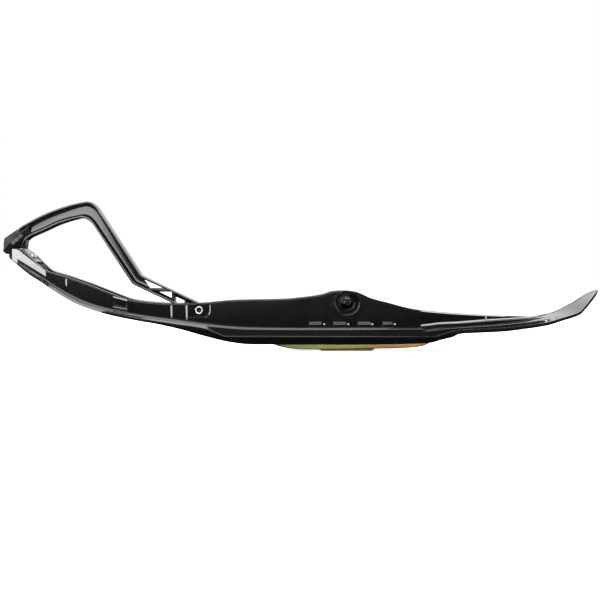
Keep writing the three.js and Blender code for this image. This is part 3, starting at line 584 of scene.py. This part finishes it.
def bezier(p0, p1, p2, count):
    """Points of a quadratic curve, its ends included."""
    p0, p1, p2 = Vector(p0), Vector(p1), Vector(p2)
    shares = (k / (count - 1) for k in range(count))
    return [p0 * (1 - s) ** 2 + p1 * 2 * s * (1 - s) + p2 * s * s for s in shares]


def spline(points, steps):
    """A Catmull-Rom curve through the points, without its last point."""
    pts = [Vector(p) for p in points]
    pts = [2 * pts[0] - pts[1], *pts, 2 * pts[-1] - pts[-2]]
    out = []
    for a, b, c, d in zip(pts, pts[1:], pts[2:], pts[3:]):
        for k in range(steps):
            t = k / steps
            out.append(0.5 * (2 * b + (c - a) * t + (2 * a - 5 * b + 4 * c - d) * t * t
                              + (3 * b - a - 3 * c + d) * t ** 3))
    return out


def line(p0, p1, count):
    """Points between two ends, without the ends."""
    p0, p1 = Vector(p0), Vector(p1)
    return [p0.lerp(p1, k / count) for k in range(1, count)]


def loop_edges():
    """The loop's outer and inner edges as two lists of matching (x, z) points."""
    outer = spline([(-530, 214), (-520, 229), (-507, 237.2), (-480, 251.7), (-456, 261.8), (-434, 269.3),
                    (-412, 275), (-395, 278)], 5)
    inner = spline([(-513.5, 180), (-513.3, 198), (-503, 211), (-476, 223.4), (-453, 234.1), (-436, 240.4),
                    (-424, 244), (-412, 247)], 5)
    outer += bezier((-395, 278), (-382, 279), (-373, 263), 14)
    inner += bezier((-412, 247), (-393.5, 251), (-380, 230.5), 14)
    outer += line((-373, 263), (-297, 144.5), 8)
    inner += line((-380, 230.5), (-313.5, 128.5), 8)
    outer += bezier((-297, 144.5), (-295, 141.3), (-289.5, 138.7), 8)
    inner += bezier((-313.5, 128.5), (-311, 124.8), (-306, 122.4), 8)
    outer += line((-289.5, 138.7), (-180, 86.6), 12) + [Vector((-180, 86.6))]
    inner += line((-306, 122.4), (-190, 67.2), 12) + [Vector((-190, 67.2))]
    return outer, inner


def loop_beam():
    """The I section swept along the loop."""
    rings = []
    for o, i in zip(*loop_edges()):
        depth = (i - o).length
        way = (i - o) / depth
        rim = 4.0
        half = [
            (0, 0, 0, 1), (LOOP_HALF, 0, 1.3, 4), (LOOP_HALF, rim, 0.9, 3), (3.0, rim + 1.0, 5.5, 7),
            (3.0, depth - rim - 1.0, 5.5, 7), (LOOP_HALF, depth - rim, 0.9, 3), (LOOP_HALF, depth, 1.3, 4),
            (0, depth, 0, 1),
        ]
        ring = mirrored(filleted(half))
        rings.append([(o.x + way.x * p.y, p.x, o.y + way.y * p.y) for p in ring])
    return skin("loop_moulding", rings)


# the hood's side edge starts at EDGE_FOOT and runs along EDGE_WAY; its widths and heights go by that run
EDGE_FOOT, EDGE_WAY = Vector((-542.9, 190.0)), Vector((0.69, 0.724)).normalized()
hood_half_width = curve_through([
    (-7, 22), (-5, 29), (-3, 33), (0, 35.5), (8, 35), (30, 25), (50, 16.5), (60, 15)])
hood_roof = linear_through([(-7, 5), (0, 12), (9.5, 19.5), (31, 14.8), (52, 9.2), (60, 7)])
hood_inner = curve_through([(-7, -30), (0, -34), (25, -21), (40, -11), (60, -2)])


def hood():
    """The wedge over the tip, wide at the nose and narrowing into the loop's arm."""
    rings = []
    for u in (-7, -6, -5, -4, -3, -1.5, *range(0, 61, 2)):
        wide, roof, inner = hood_half_width(u), hood_roof(u), hood_inner(u)
        half = [
            (0, inner, 0, 1), (min(LOOP_HALF - 3, 0.6 * wide), inner, 1, 3),
            (min(LOOP_HALF - 1, 0.75 * wide), inner * 0.6, 1, 3),
            (max(wide - 4, min(LOOP_HALF - 0.6, 0.9 * wide)), max(-6, inner * 0.5), 1, 3),
            (wide, 0, 1.1, 5),
            (min(9, 0.5 * wide), 0.95 * roof, 1.5, 3), (0, roof, 0, 1),
        ]
        ring = []
        for p in mirrored(filleted(half)):
            x = EDGE_FOOT.x + u * EDGE_WAY.x - p.y * EDGE_WAY.y
            z = EDGE_FOOT.y + u * EDGE_WAY.y + p.y * EDGE_WAY.x
            ring.append((x, p.x, z))
        rings.append(ring)
    return skin("hood", rings)


def tip_clearance():
    """The space of the ski's tip under the hood, which the loop keeps out of."""
    outline = [(-600, 181), (TIP_X - 0.7, 181), (TIP_X - 0.7, 186.2), (-529, 186.2), (-529, 191.7)]
    outline += [(x, wall_top(x) + 0.7) for x in (-517, -511, -505, -495, -485, -475)]
    outline += [(-440, wall_top(-440) + 0.7), (-440, 120), (-600, 120)]
    return prism("clearance", outline, -70, 70)


def loop_foot():
    """The screwed plate with a rim along each side."""
    slope, rise = math.tan(FOOT_SLOPE), FOOT_THICK / math.cos(FOOT_SLOPE)

    def low(x):
        return channel_floor(FOOT_X) + 0.5 - slope * (x - FOOT_X)

    x0, x1 = FOOT_X - 14, FOOT_X + 10
    outline = [(x0, low(x0)), (x1, low(x1)), (x1 + 4, low(x1) + rise - 4), (x0, low(x0) + rise + 4)]
    plate = bevelled(prism("foot", outline, -21, 21), 1.6, 3)
    rim = rise + 1.6
    outline = [(x0, low(x0) + 2), (x1, low(x1) + 2), (x1, low(x1) + rim), (x0 + 4, low(x0 + 4) + rim)]
    rims = [bevelled(prism("footrim", outline, *side_span(s, 17.5, 21)), 0.8, 2) for s in (-1, 1)]
    return boolean(plate, rims, "UNION")


def truss_windows():
    windows = [
        [(-291, 133.5), (-280, 118), (-256, 118)],
        [(-263, 110.5), (-238.5, 98.5), (-238.5, 110.5)],
        [(-232, 101.5), (-232, 92.5), (-215, 84.5), (-215, 93.5)],
        [(-210.5, 91), (-210.5, 82.5), (-201, 78.5), (-201, 86.5)],
    ]
    return merge([bevelled(prism("window", corners, -20, 20), 1.2, 3) for corners in windows])


def truss_struts():
    struts = [
        [(-281, 117.7), (-281, 112), (-240, 112), (-256, 117.7)],
        [(-238.2, 112), (-238.2, 92), (-232.3, 89.5), (-232.3, 110)],
        [(-214.7, 101), (-214.7, 81), (-210.8, 79), (-210.8, 99)],
    ]
    return [bevelled(prism("strut", corners, -LOOP_HALF + 1, LOOP_HALF - 1), 0.7, 2) for corners in struts]


def hand_loop():
    loop = boolean(loop_beam(), [truss_windows()])
    boolean(loop, [*truss_struts(), hood()], "UNION")
    boolean(loop, [tip_clearance()])
    end = [(0, -26.4), (10.8, -26.4), (11.5, -25.7), (11.5, 25.7), (10.8, 26.4), (0, 26.4)]
    boolean(loop, [lathe("loopboss", end, 64, "Y", BOLT_AT), loop_foot()], "UNION")
    cuts = [rod("spacerhole", 7.1, -50, 50, *BOLT, 48)]
    hole = [(0, -6), (3.4, -6), (3.4, FOOT_THICK), (6.3, FOOT_THICK), (6.3, 60), (0, 60)]
    cuts += [on_foot(lathe("screwhole", hole, 40, "Y"), s * SCREW_Y) for s in (-1, 1)]
    boolean(loop, [merge(cuts)])
    return smooth(loop, 24)


# ---------------------------------------- materials


def set_range(node, low, high, to_low, to_high):
    """Sets a map range node, which takes low to to_low and high to to_high."""
    node.inputs["From Min"].default_value = low
    node.inputs["From Max"].default_value = high
    node.inputs["To Min"].default_value = to_low
    node.inputs["To Max"].default_value = to_high


class Look:
    """A node material with one Principled shader and a few helpers."""

    def __init__(self, name, base, roughness, metallic=0.0, specular=0.5):
        self.material = bpy.data.materials.new(name)
        self.material.use_nodes = True
        self.tree = self.material.node_tree
        self.shader = self.tree.nodes["Principled BSDF"]
        self.shader.inputs["Base Color"].default_value = (*base, 1)
        self.shader.inputs["Roughness"].default_value = roughness
        self.shader.inputs["Metallic"].default_value = metallic
        self.shader.inputs["Specular IOR Level"].default_value = specular
        self.place = self.add("ShaderNodeTexCoord").outputs["Object"]
        self.normal = None

    def add(self, kind, **values):
        node = self.tree.nodes.new(kind)
        for key, value in values.items():
            setattr(node, key, value)
        return node

    def link(self, a, b):
        self.tree.links.new(a, b)

    def stretched(self, scale):
        node = self.add("ShaderNodeMapping")
        node.inputs["Scale"].default_value = scale
        self.link(self.place, node.inputs["Vector"])
        return node.outputs["Vector"]

    def noise(self, scale, detail=3.0, rough=0.55, stretch=None):
        node = self.add("ShaderNodeTexNoise")
        node.inputs["Scale"].default_value = scale
        node.inputs["Detail"].default_value = detail
        node.inputs["Roughness"].default_value = rough
        self.link(self.stretched(stretch) if stretch else self.place, node.inputs["Vector"])
        return node.outputs["Fac"]

    def mapped(self, value, low, high, to_low, to_high):
        node = self.add("ShaderNodeMapRange")
        set_range(node, low, high, to_low, to_high)
        self.link(value, node.inputs["Value"])
        return node.outputs["Result"]

    def ramp(self, value, stops):
        node = self.add("ShaderNodeValToRGB")
        ramp = node.color_ramp
        while len(ramp.elements) < len(stops):
            ramp.elements.new(0.5)
        for element, (where, colour) in zip(ramp.elements, stops):
            element.position = where
            element.color = (*colour, 1)
        self.link(value, node.inputs["Fac"])
        return node.outputs["Color"]

    def roughness(self, value):
        self.link(value, self.shader.inputs["Roughness"])
        return self

    def colour(self, value):
        self.link(value, self.shader.inputs["Base Color"])
        return self

    def bump(self, height, strength, distance):
        """Adds a bump; distance in millimetres."""
        node = self.add("ShaderNodeBump")
        node.inputs["Strength"].default_value = strength
        node.inputs["Distance"].default_value = distance * MM
        self.link(height, node.inputs["Height"])
        if self.normal:
            self.link(self.normal, node.inputs["Normal"])
        self.normal = node.outputs["Normal"]
        self.link(self.normal, self.shader.inputs["Normal"])
        return self

    def soft_edges(self, radius):
        """Rounds the shading of edges, radius in millimetres."""
        node = self.add("ShaderNodeBevel", samples=6)
        node.inputs["Radius"].default_value = radius * MM
        self.normal = node.outputs["Normal"]
        self.link(self.normal, self.shader.inputs["Normal"])
        return self


def moulded(name, base, rough_low, rough_high, grain, depth, specular=0.5):
    """Moulded plastic: fine grain, slight patches of gloss and of tone."""
    look = Look(name, base, rough_low, 0.0, specular)
    look.soft_edges(0.3)
    patches = look.noise(14, 4)
    look.roughness(look.mapped(patches, 0.3, 0.7, rough_low, rough_high))
    dark = tuple(c * 0.8 for c in base)
    light = tuple(c * 1.25 for c in base)
    look.colour(look.ramp(look.noise(60, 5), [(0.3, dark), (0.7, light)]))
    look.bump(look.noise(35, 2), 0.2, 0.05)
    look.bump(look.noise(grain, 3), 0.3, depth)
    return look.material


def steel(name, base, roughness):
    """Plated or ground metal with fine mottling."""
    look = Look(name, base, roughness, 1.0)
    look.soft_edges(0.35)
    look.roughness(look.mapped(look.noise(500, 4), 0.3, 0.7, roughness * 0.75, roughness * 1.35))
    dark = tuple(c * 0.78 for c in base)
    light = tuple(min(1, c * 1.15) for c in base)
    look.colour(look.ramp(look.noise(180, 5), [(0.3, dark), (0.7, light)]))
    look.bump(look.noise(1400, 3), 0.25, 0.02)
    return look.material


def gold_zinc(name):
    """Yellow zinc plating whose tint drifts from green gold at the front to copper at the rear."""
    look = Look(name, (0.35, 0.3, 0.12), 0.3, 1.0)
    look.soft_edges(0.4)
    split = look.add("ShaderNodeSeparateXYZ")
    look.link(look.place, split.inputs["Vector"])
    drift = look.add("ShaderNodeMath", operation="MULTIPLY_ADD")
    look.link(look.noise(45, 3, 0.6, (1, 3, 3)), drift.inputs[0])
    drift.inputs[1].default_value = 0.10
    look.link(split.outputs["X"], drift.inputs[2])
    place = look.mapped(drift.outputs["Value"], 0.0, 0.30, 0.0, 1.0)
    look.colour(look.ramp(place, [
        (0.0, (0.30, 0.31, 0.14)), (0.25, (0.36, 0.42, 0.14)), (0.48, (0.55, 0.52, 0.16)),
        (0.62, (0.62, 0.46, 0.15)), (0.78, (0.85, 0.49, 0.17)), (0.92, (0.98, 0.66, 0.38))]))
    look.roughness(look.mapped(look.noise(300, 4, 0.6, (0.15, 1, 1)), 0.3, 0.7, 0.36, 0.5))
    look.bump(look.noise(900, 3, 0.6, (0.12, 1, 1)), 0.35, 0.04)
    return look.material


def film(name):
    """Printed film, slightly uneven in tone and gloss."""
    look = Look(name, (0.5, 0.5, 0.5), 0.35)
    look.colour(look.ramp(look.noise(90, 4), [(0.3, (0.21, 0.21, 0.212)), (0.7, (0.24, 0.24, 0.24))]))
    look.roughness(look.mapped(look.noise(40, 3), 0.3, 0.7, 0.3, 0.42))
    look.bump(look.noise(700, 2), 0.15, 0.02)
    return look.material


LOOKS = {
    "ski_plastic": moulded("ski_plastic", (0.003, 0.003, 0.0033), 0.08, 0.115, 900, 0.004),
    "loop_plastic": moulded("loop_plastic", (0.006, 0.006, 0.0064), 0.12, 0.17, 700, 0.012),
    "black_steel": steel("black_steel", (0.024, 0.024, 0.026), 0.2),
    "zinc_steel": steel("zinc_steel", (0.52, 0.53, 0.55), 0.4),
    "gold_zinc_steel": gold_zinc("gold_zinc_steel"),
    "carbide": steel("carbide", (0.16, 0.13, 0.09), 0.38),
    "brass": steel("brass", (0.6, 0.42, 0.14), 0.3),
    "bushing_nylon": moulded("bushing_nylon", (0.02, 0.02, 0.021), 0.4, 0.5, 900, 0.03),
    "rubber": moulded("rubber", (0.012, 0.012, 0.012), 0.6, 0.75, 500, 0.08, 0.3),
    "decal_film": film("decal_film"),
}


def put(obj, slot_name, body, *replaced):
    """Gives an object its material and body, and hides the CAD nodes that it stands for."""
    obj.data.materials.clear()
    obj.data.materials.append(LOOKS[slot_name])
    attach(obj, body)
    if replaced:
        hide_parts(*replaced)
    return obj


# ---------------------------------------- fasteners


def pivot_hardware():
    face = 36.6  # where the bolt head and the nut bear on their washers
    dome = [(0, -face), (10, -face), (10, -face - 0.9)]
    for degrees in range(56, 18, -4):
        turn = math.radians(degrees)
        dome.append((12 * math.sin(turn), -face - 1.0 - 12 * (math.cos(turn) - math.cos(math.radians(56)))))
    dome.append((0, dome[-1][1] - 0.1))
    head = lathe("pivot_bolt_head", dome, 72, "Y", PIVOT_AT)
    boolean(head, [hexagon("socket", 8, -face - 20, -face - 2.5, "Y", PIVOT_AT, math.radians(12))])
    tip = face + 15
    profile = [(0, -face + 0.05), (6, -face + 0.05), (6, face - 4)]
    profile += thread_profile(6, face - 4, tip - 1, 1.75, 0.55)
    profile += [(4.6, tip), (0, tip)]
    shank = lathe("pivot_bolt_shank", profile, 48, "Y", PIVOT_AT)
    bolt = smooth(boolean(head, [shank], "UNION"), 28)
    bolt.name = "pivot_bolt_turned"
    put(bolt, "black_steel", "pivot", "pivot_bolt")

    nut = turned_hexagon("pivot_nut_turned", 18, face + 1.6, face + 12, "Y", PIVOT_AT)
    flange = [(0, face), (13, face), (13, face + 0.9), (10.4, face + 2.5), (0, face + 2.5)]
    boolean(nut, [lathe("nut_flange", flange, 64, "Y", PIVOT_AT)], "UNION")
    boolean(nut, [rod("nut_bore", 6.3, 20, 60, *PIVOT)])
    put(smooth(nut, 25), "black_steel", "pivot", "pivot_nut")

    for side, name in ((-1, "pivot_bolt_washer"), (1, "pivot_nut_washer")):
        profile = [
            (6.5, 33.5), (14.3, 33.3), (15.4, 33.5), (15.8, 34.0), (15.8, 35.6), (15.5, 36.1), (14.9, 36.3),
            (14.1, 36.1), (13.2, 35.3), (12.2, 35.0), (11.0, 35.3), (10.4, 35.9), (9.6, 36.2), (7.1, 36.3),
            (6.5, 36.0),
        ]
        cup = lathe(name + "_cup", [(r, side * h) for r, h in profile], 96, "Y", PIVOT_AT)
        put(smooth(cup, 30), "black_steel", "pivot", name)

    tube = [(6.3, -32.6), (6.7, -33), (9.1, -33), (9.5, -32.6), (9.5, 32.6), (9.1, 33), (6.7, 33),
            (6.3, 32.6)]
    sleeve = lathe("pivot_sleeve_tube", tube, 96, "Y", PIVOT_AT)
    put(smooth(sleeve, 30), "zinc_steel", "pivot", "pivot_sleeve")

    for side, name in ((-1, "pivot_bushing_left"), (1, "pivot_bushing_right")):
        profile = [(9.95, 19.9), (10.3, 19.5), (16.4, 19.5), (17, 20.1), (17, 21.6), (12, 21.6), (12, 30.5),
                   (11.5, 31), (10.4, 31), (9.95, 30.5)]
        bush = lathe(name + "_turned", [(r, side * h) for r, h in profile], 96, "Y", PIVOT_AT)
        put(smooth(bush, 30), "bushing_nylon", "ski", name)


def loop_hardware():
    grip = 34.2  # where the bolt's head and the nut bear on their washers
    end = -grip - 4.2
    profile = [(0, end + 2.2), (2.3, end + 0.4), (2.8, end), (3.3, end), (3.9, end + 0.7)]
    profile += thread_profile(4, end + 0.8, -20, 1.25, 0.4)
    profile += [(4, -19.5), (4, grip + 0.05), (0, grip + 0.05)]
    bolt = lathe("loop_bolt_turned", profile, 40, "Y", BOLT_AT)
    head = turned_hexagon("loop_bolt_head", 13, grip, grip + 5.3, "Y", BOLT_AT, math.radians(9))
    boolean(bolt, [head], "UNION")
    put(smooth(bolt, 28), "black_steel", "ski", "loop_bolt")
    nut = turned_hexagon("loop_nut_turned", 13, -grip - 8, -grip, "Y", BOLT_AT, math.radians(14))
    bore = [(0, -50), (5.2, -50), (5.2, -grip - 7.6), (4.25, -grip - 6.7), (4.25, -30), (0, -30)]
    boolean(nut, [lathe("nutbore", bore, 48, "Y", BOLT_AT)])
    put(smooth(nut, 25), "zinc_steel", "ski", "loop_nut")
    for side, name in ((1, "loop_bolt_washer"), (-1, "loop_nut_washer")):
        profile = [(4.3, 32.4), (8.3, 32.3), (8.5, 32.5), (8.5, 33.6), (8.2, 33.9), (4.5, 33.9),
                   (4.3, 33.7)]
        washer = lathe(name + "_turned", [(r, side * h) for r, h in profile], 64, "Y", BOLT_AT)
        put(smooth(washer, 30), "black_steel", "ski", name)
    tube = [(4.3, -26.6), (6.8, -26.6), (6.8, 26.6), (4.3, 26.6)]
    put(smooth(lathe("loop_spacer_tube", tube, 64, "Y", BOLT_AT), 30), "zinc_steel", "ski", "loop_spacer")


def foot_hardware():
    """The two screws through the loop's foot and the brass inserts that they turn into."""
    seat = FOOT_THICK + 0.7
    head = [(0, seat), (5.5, seat), (5.5, seat + 0.8), (5.0, seat + 1.9), (3.9, seat + 2.8),
            (2.7, seat + 3.2), (0, seat + 3.2)]
    shank = [(0, seat - 19)] + thread_profile(3, seat - 19, seat - 4, 1.0, 0.35)
    shank += [(3, seat + 0.05), (0, seat + 0.05)]
    sleeve = [(3.3, -13.7), (3.6, -14), (4.3, -14), (4.6, -13.6), (4.6, -9.5), (4.1, -9), (4.1, -6),
              (4.6, -5.5), (4.6, -0.8), (4.3, -0.4), (3.6, -0.4), (3.3, -0.8)]
    for side, name in ((-1, "left"), (1, "right")):
        screw = lathe("foot_screw_" + name, head, 48, "Y")
        boolean(screw, [hexagon("drive", 4, seat + 1.4, seat + 20, "Y", twist=0.3 * side)])
        boolean(screw, [lathe("shank", shank, 32, "Y")], "UNION")
        put(smooth(on_foot(screw, side * SCREW_Y), 28), "zinc_steel", "ski", "loop_foot_screw_" + name)
        insert = on_foot(lathe("insert_" + name, sleeve, 40, "Y"), side * SCREW_Y)
        put(smooth(insert, 30), "brass", "ski", "screw_insert_" + name)


# ---------------------------------------- wear bar and its hardware


def wear_bar():
    """The bar with its carbide insert, and its three studs with their washers and nuts."""
    rings = []
    xs = spaced(-50, 40, 3) + spaced(40, 187, 7) + spaced(187, 240, 2.5) + [240]
    for x in xs:
        top = 14.6
        low = min(bar_bottom(x), top - 1.6)
        tall = top - low
        half = [(0, low, 0, 1), (3.6, low, 0.8, 3), (5.3, low + min(1.5, 0.3 * tall), 0.9, 4),
                (5.5, low + 0.6 * tall, 1.5, 3), (5.5, top, 0.3, 3), (0, top, 0, 1)]
        rings.append([(x, p.x, p.y) for p in mirrored(filleted(half))])
    bar = skin("wear_bar_forged", rings)
    slot = prism("slot", [(36.7, -5), (138.9, -5), (138.9, 5.3), (36.7, 5.3)], -2.5, 2.5)
    put(smooth(boolean(bar, [slot]), 30), "gold_zinc_steel", "ski", "wear_bar")

    end = 138.6
    outline = [(37, 2.2), (39.5, 0.0), (end - 4, 0.0), (end, 3), (end, 5), (37, 5)]
    blade = bevelled(prism("carbide_ground", outline, -2.2, 2.2), 0.35, 2)
    put(smooth(blade, 30), "carbide", "ski", "carbide_insert")

    for x, name in zip(STUD_XS, ("front", "middle", "rear")):
        at = (x, 0, 0)
        profile = [(0, 14.9), (4, 14.9), (4, 37)]
        profile += thread_profile(4, 37, 50.3, 1.25, 0.4) + [(3.0, 51), (0, 51)]
        stud = lathe("stud_" + name, profile, 40, "Z", at)
        put(smooth(stud, 28), "gold_zinc_steel", "ski", "wear_bar_stud_" + name)
        ring = [(4.4, 38.3), (8.3, 38.3), (8.5, 38.5), (8.5, 39.6), (8.2, 39.9), (4.6, 39.9), (4.4, 39.7)]
        washer = lathe("washer_" + name, ring, 64, "Z", at)
        put(smooth(washer, 30), "zinc_steel", "ski", "stud_washer_" + name)
        nut = turned_hexagon("nut_" + name, 13, 40.2, 48.2, "Z", at, math.radians(30))
        bore = [(0, 30), (4.3, 30), (4.3, 46.9), (5.2, 47.9), (5.2, 60), (0, 60)]
        boolean(nut, [lathe("bore", bore, 48, "Z", at)])
        put(smooth(nut, 25), "zinc_steel", "ski", "stud_nut_" + name)


def damper():
    """A rubber saddle block with two raised ends."""
    floor, x0, x1 = 52.3, 27, 147
    outline = [(x0, floor), (x1, floor), (x1 - 3, floor + 17), (x1 - 17, floor + 19)]
    outline += [tuple(p) for p in bezier((130, 71.3), (109, 63), (87, 63), 12)][1:]
    outline += [tuple(p) for p in bezier((87, 63), (65, 63), (44, 71.3), 12)][1:]
    outline += [(x0 + 3, floor + 17)]
    block = bevelled(prism("damper_block", outline, -17.5, 17.5), 1.5, 3)
    put(smooth(block, 30), "rubber", "ski", "spindle_damper")


def decals():
    outline = [(-527.5, 169.6), (-518, 162.6), (-518, 171.5), (-513.5, 168.6), (-466, 139), (-466, 148),
               (-517.5, 188.6), (-527.5, 189.4)]
    for side, name in ((-1, "left"), (1, "right")):
        sheet = bevelled(prism("tip_film_" + name, outline, *side_span(side, 36.3, 36.75)), 0.15, 2)
        put(smooth(sheet, 30), "decal_film", "ski", "tip_decal_" + name)


put(ski_body(), "ski_plastic", "ski", "ski_body")
put(hand_loop(), "loop_plastic", "ski", "hand_loop")
pivot_hardware()
loop_hardware()
foot_hardware()
wear_bar()
damper()
decals()

# ---------------------------------------- studio


def aim(obj, place, target=(0.0, 0.0, 0.1)):
    """Puts a light or camera at a place in metres, looking at the target."""
    obj.location = place
    obj.rotation_euler = (Vector(target) - Vector(place)).to_track_quat("-Z", "Y").to_euler()
    bpy.context.scene.collection.objects.link(obj)
    return obj


def softbox(name, azimuth, elevation, distance, width, height, radiance):
    """An area light at an azimuth right of the camera side and an elevation, its lengths in metres."""
    light = bpy.data.lights.new(name, "AREA")
    light.shape = "RECTANGLE"
    light.size, light.size_y = width, height
    light.energy = radiance * math.pi * width * height
    obj = bpy.data.objects.new(name, light)
    obj.visible_camera = False
    az, el = math.radians(azimuth), math.radians(elevation)
    place = Vector((math.sin(az) * math.cos(el), -math.cos(az) * math.cos(el), math.sin(el))) * distance
    return aim(obj, place + Vector((0, 0, 0.1)))


softbox("key_softbox", -17, 16.6, 3.2, 2.9, 1.5, 8.0)
softbox("left_strip", -60, 7, 3.2, 1.0, 1.5, 13.0)
softbox("right_strip", 56, 14, 3.2, 0.8, 2.4, 6.0)
softbox("top_strip", 0, 88, 2.4, 3.0, 0.8, 13.0)
softbox("back_softbox", 168, 52, 2.8, 2.4, 1.4, 2.2)

world = bpy.data.worlds.new("studio")
bpy.context.scene.world = world
world.use_nodes = True
tree = world.node_tree
tree.nodes.clear()
coords = tree.nodes.new("ShaderNodeTexCoord")
split = tree.nodes.new("ShaderNodeSeparateXYZ")
tree.links.new(coords.outputs["Generated"], split.inputs["Vector"])


def world_step(value, low, high, to_low, to_high):
    node = tree.nodes.new("ShaderNodeMapRange")
    node.interpolation_type = "SMOOTHSTEP"
    set_range(node, low, high, to_low, to_high)
    tree.links.new(value, node.inputs["Value"])
    return node.outputs["Result"]


def world_math(operation, a, b):
    node = tree.nodes.new("ShaderNodeMath")
    node.operation = operation
    for socket, value in zip(node.inputs, (a, b)):
        if isinstance(value, (int, float)):
            socket.default_value = value
        else:
            tree.links.new(value, socket)
    return node.outputs["Value"]


sky = world_step(split.outputs["Z"], 0.1, 0.9, 0.0, 0.6)
backdrop = world_step(split.outputs["Z"], 0.05, 0.5, 1.0, 2.1)
aside = world_step(world_math("ABSOLUTE", split.outputs["X"], 0.0), 0.3, 0.6, 1.0, 0.2)
behind = world_math("MULTIPLY", world_step(split.outputs["Y"], 0.0, 0.6, 0.0, 1.0), backdrop)
behind = world_math("MULTIPLY", behind, aside)
above_ground = world_step(split.outputs["Z"], -0.12, 0.02, 0.0, 1.0)
glow = world_math("MULTIPLY", world_math("ADD", world_math("ADD", sky, behind), 0.04), above_ground)
lit = tree.nodes.new("ShaderNodeBackground")
tree.links.new(world_math("ADD", glow, 0.01), lit.inputs["Strength"])
seen = tree.nodes.new("ShaderNodeBackground")
seen.inputs["Strength"].default_value = 1.0
seen.inputs["Color"].default_value = (1, 1, 1, 1)
rays = tree.nodes.new("ShaderNodeLightPath")
mix = tree.nodes.new("ShaderNodeMixShader")
tree.links.new(rays.outputs["Is Camera Ray"], mix.inputs["Fac"])
tree.links.new(lit.outputs["Background"], mix.inputs[1])
tree.links.new(seen.outputs["Background"], mix.inputs[2])
out = tree.nodes.new("ShaderNodeOutputWorld")
tree.links.new(mix.outputs["Shader"], out.inputs["Surface"])

floor_look = bpy.data.materials.new("studio_floor")
floor_look.use_nodes = True
floor_shader = floor_look.node_tree.nodes["Principled BSDF"]
floor_shader.inputs["Base Color"].default_value = (0.86, 0.86, 0.86, 1)
floor_shader.inputs["Roughness"].default_value = 0.9
floor_shader.inputs["Specular IOR Level"].default_value = 0.1
floor_shader.inputs["Emission Color"].default_value = (1, 1, 1, 1)
floor_shader.inputs["Emission Strength"].default_value = 0.75
FLOOR_HALF, FLOOR_LEVEL = 30000.0, -0.3
floor_ways = ((-1, -1), (1, -1), (1, 1), (-1, 1))
floor_corners = [(x * FLOOR_HALF, y * FLOOR_HALF, FLOOR_LEVEL) for x, y in floor_ways]
ground = make("studio_floor", floor_corners, [(0, 1, 2, 3)])
ground.data.materials.append(floor_look)
ground.visible_glossy = False

bpy.context.scene.view_settings.view_transform = "Standard"

# how far away and how high the camera is, in metres, and how far it looks down
CAMERA_FAR, CAMERA_HIGH, CAMERA_TILT = 1.95, 0.095, math.radians(1.5)
camera_data = bpy.data.cameras.new("camera")
camera_data.sensor_width = 36
camera_data.lens = 62.57
camera = bpy.data.objects.new("camera", camera_data)
camera_place = (0, -CAMERA_FAR * math.cos(CAMERA_TILT), CAMERA_HIGH + CAMERA_FAR * math.sin(CAMERA_TILT))
aim(camera, camera_place, (0, 0, CAMERA_HIGH))
bpy.context.scene.camera = camera
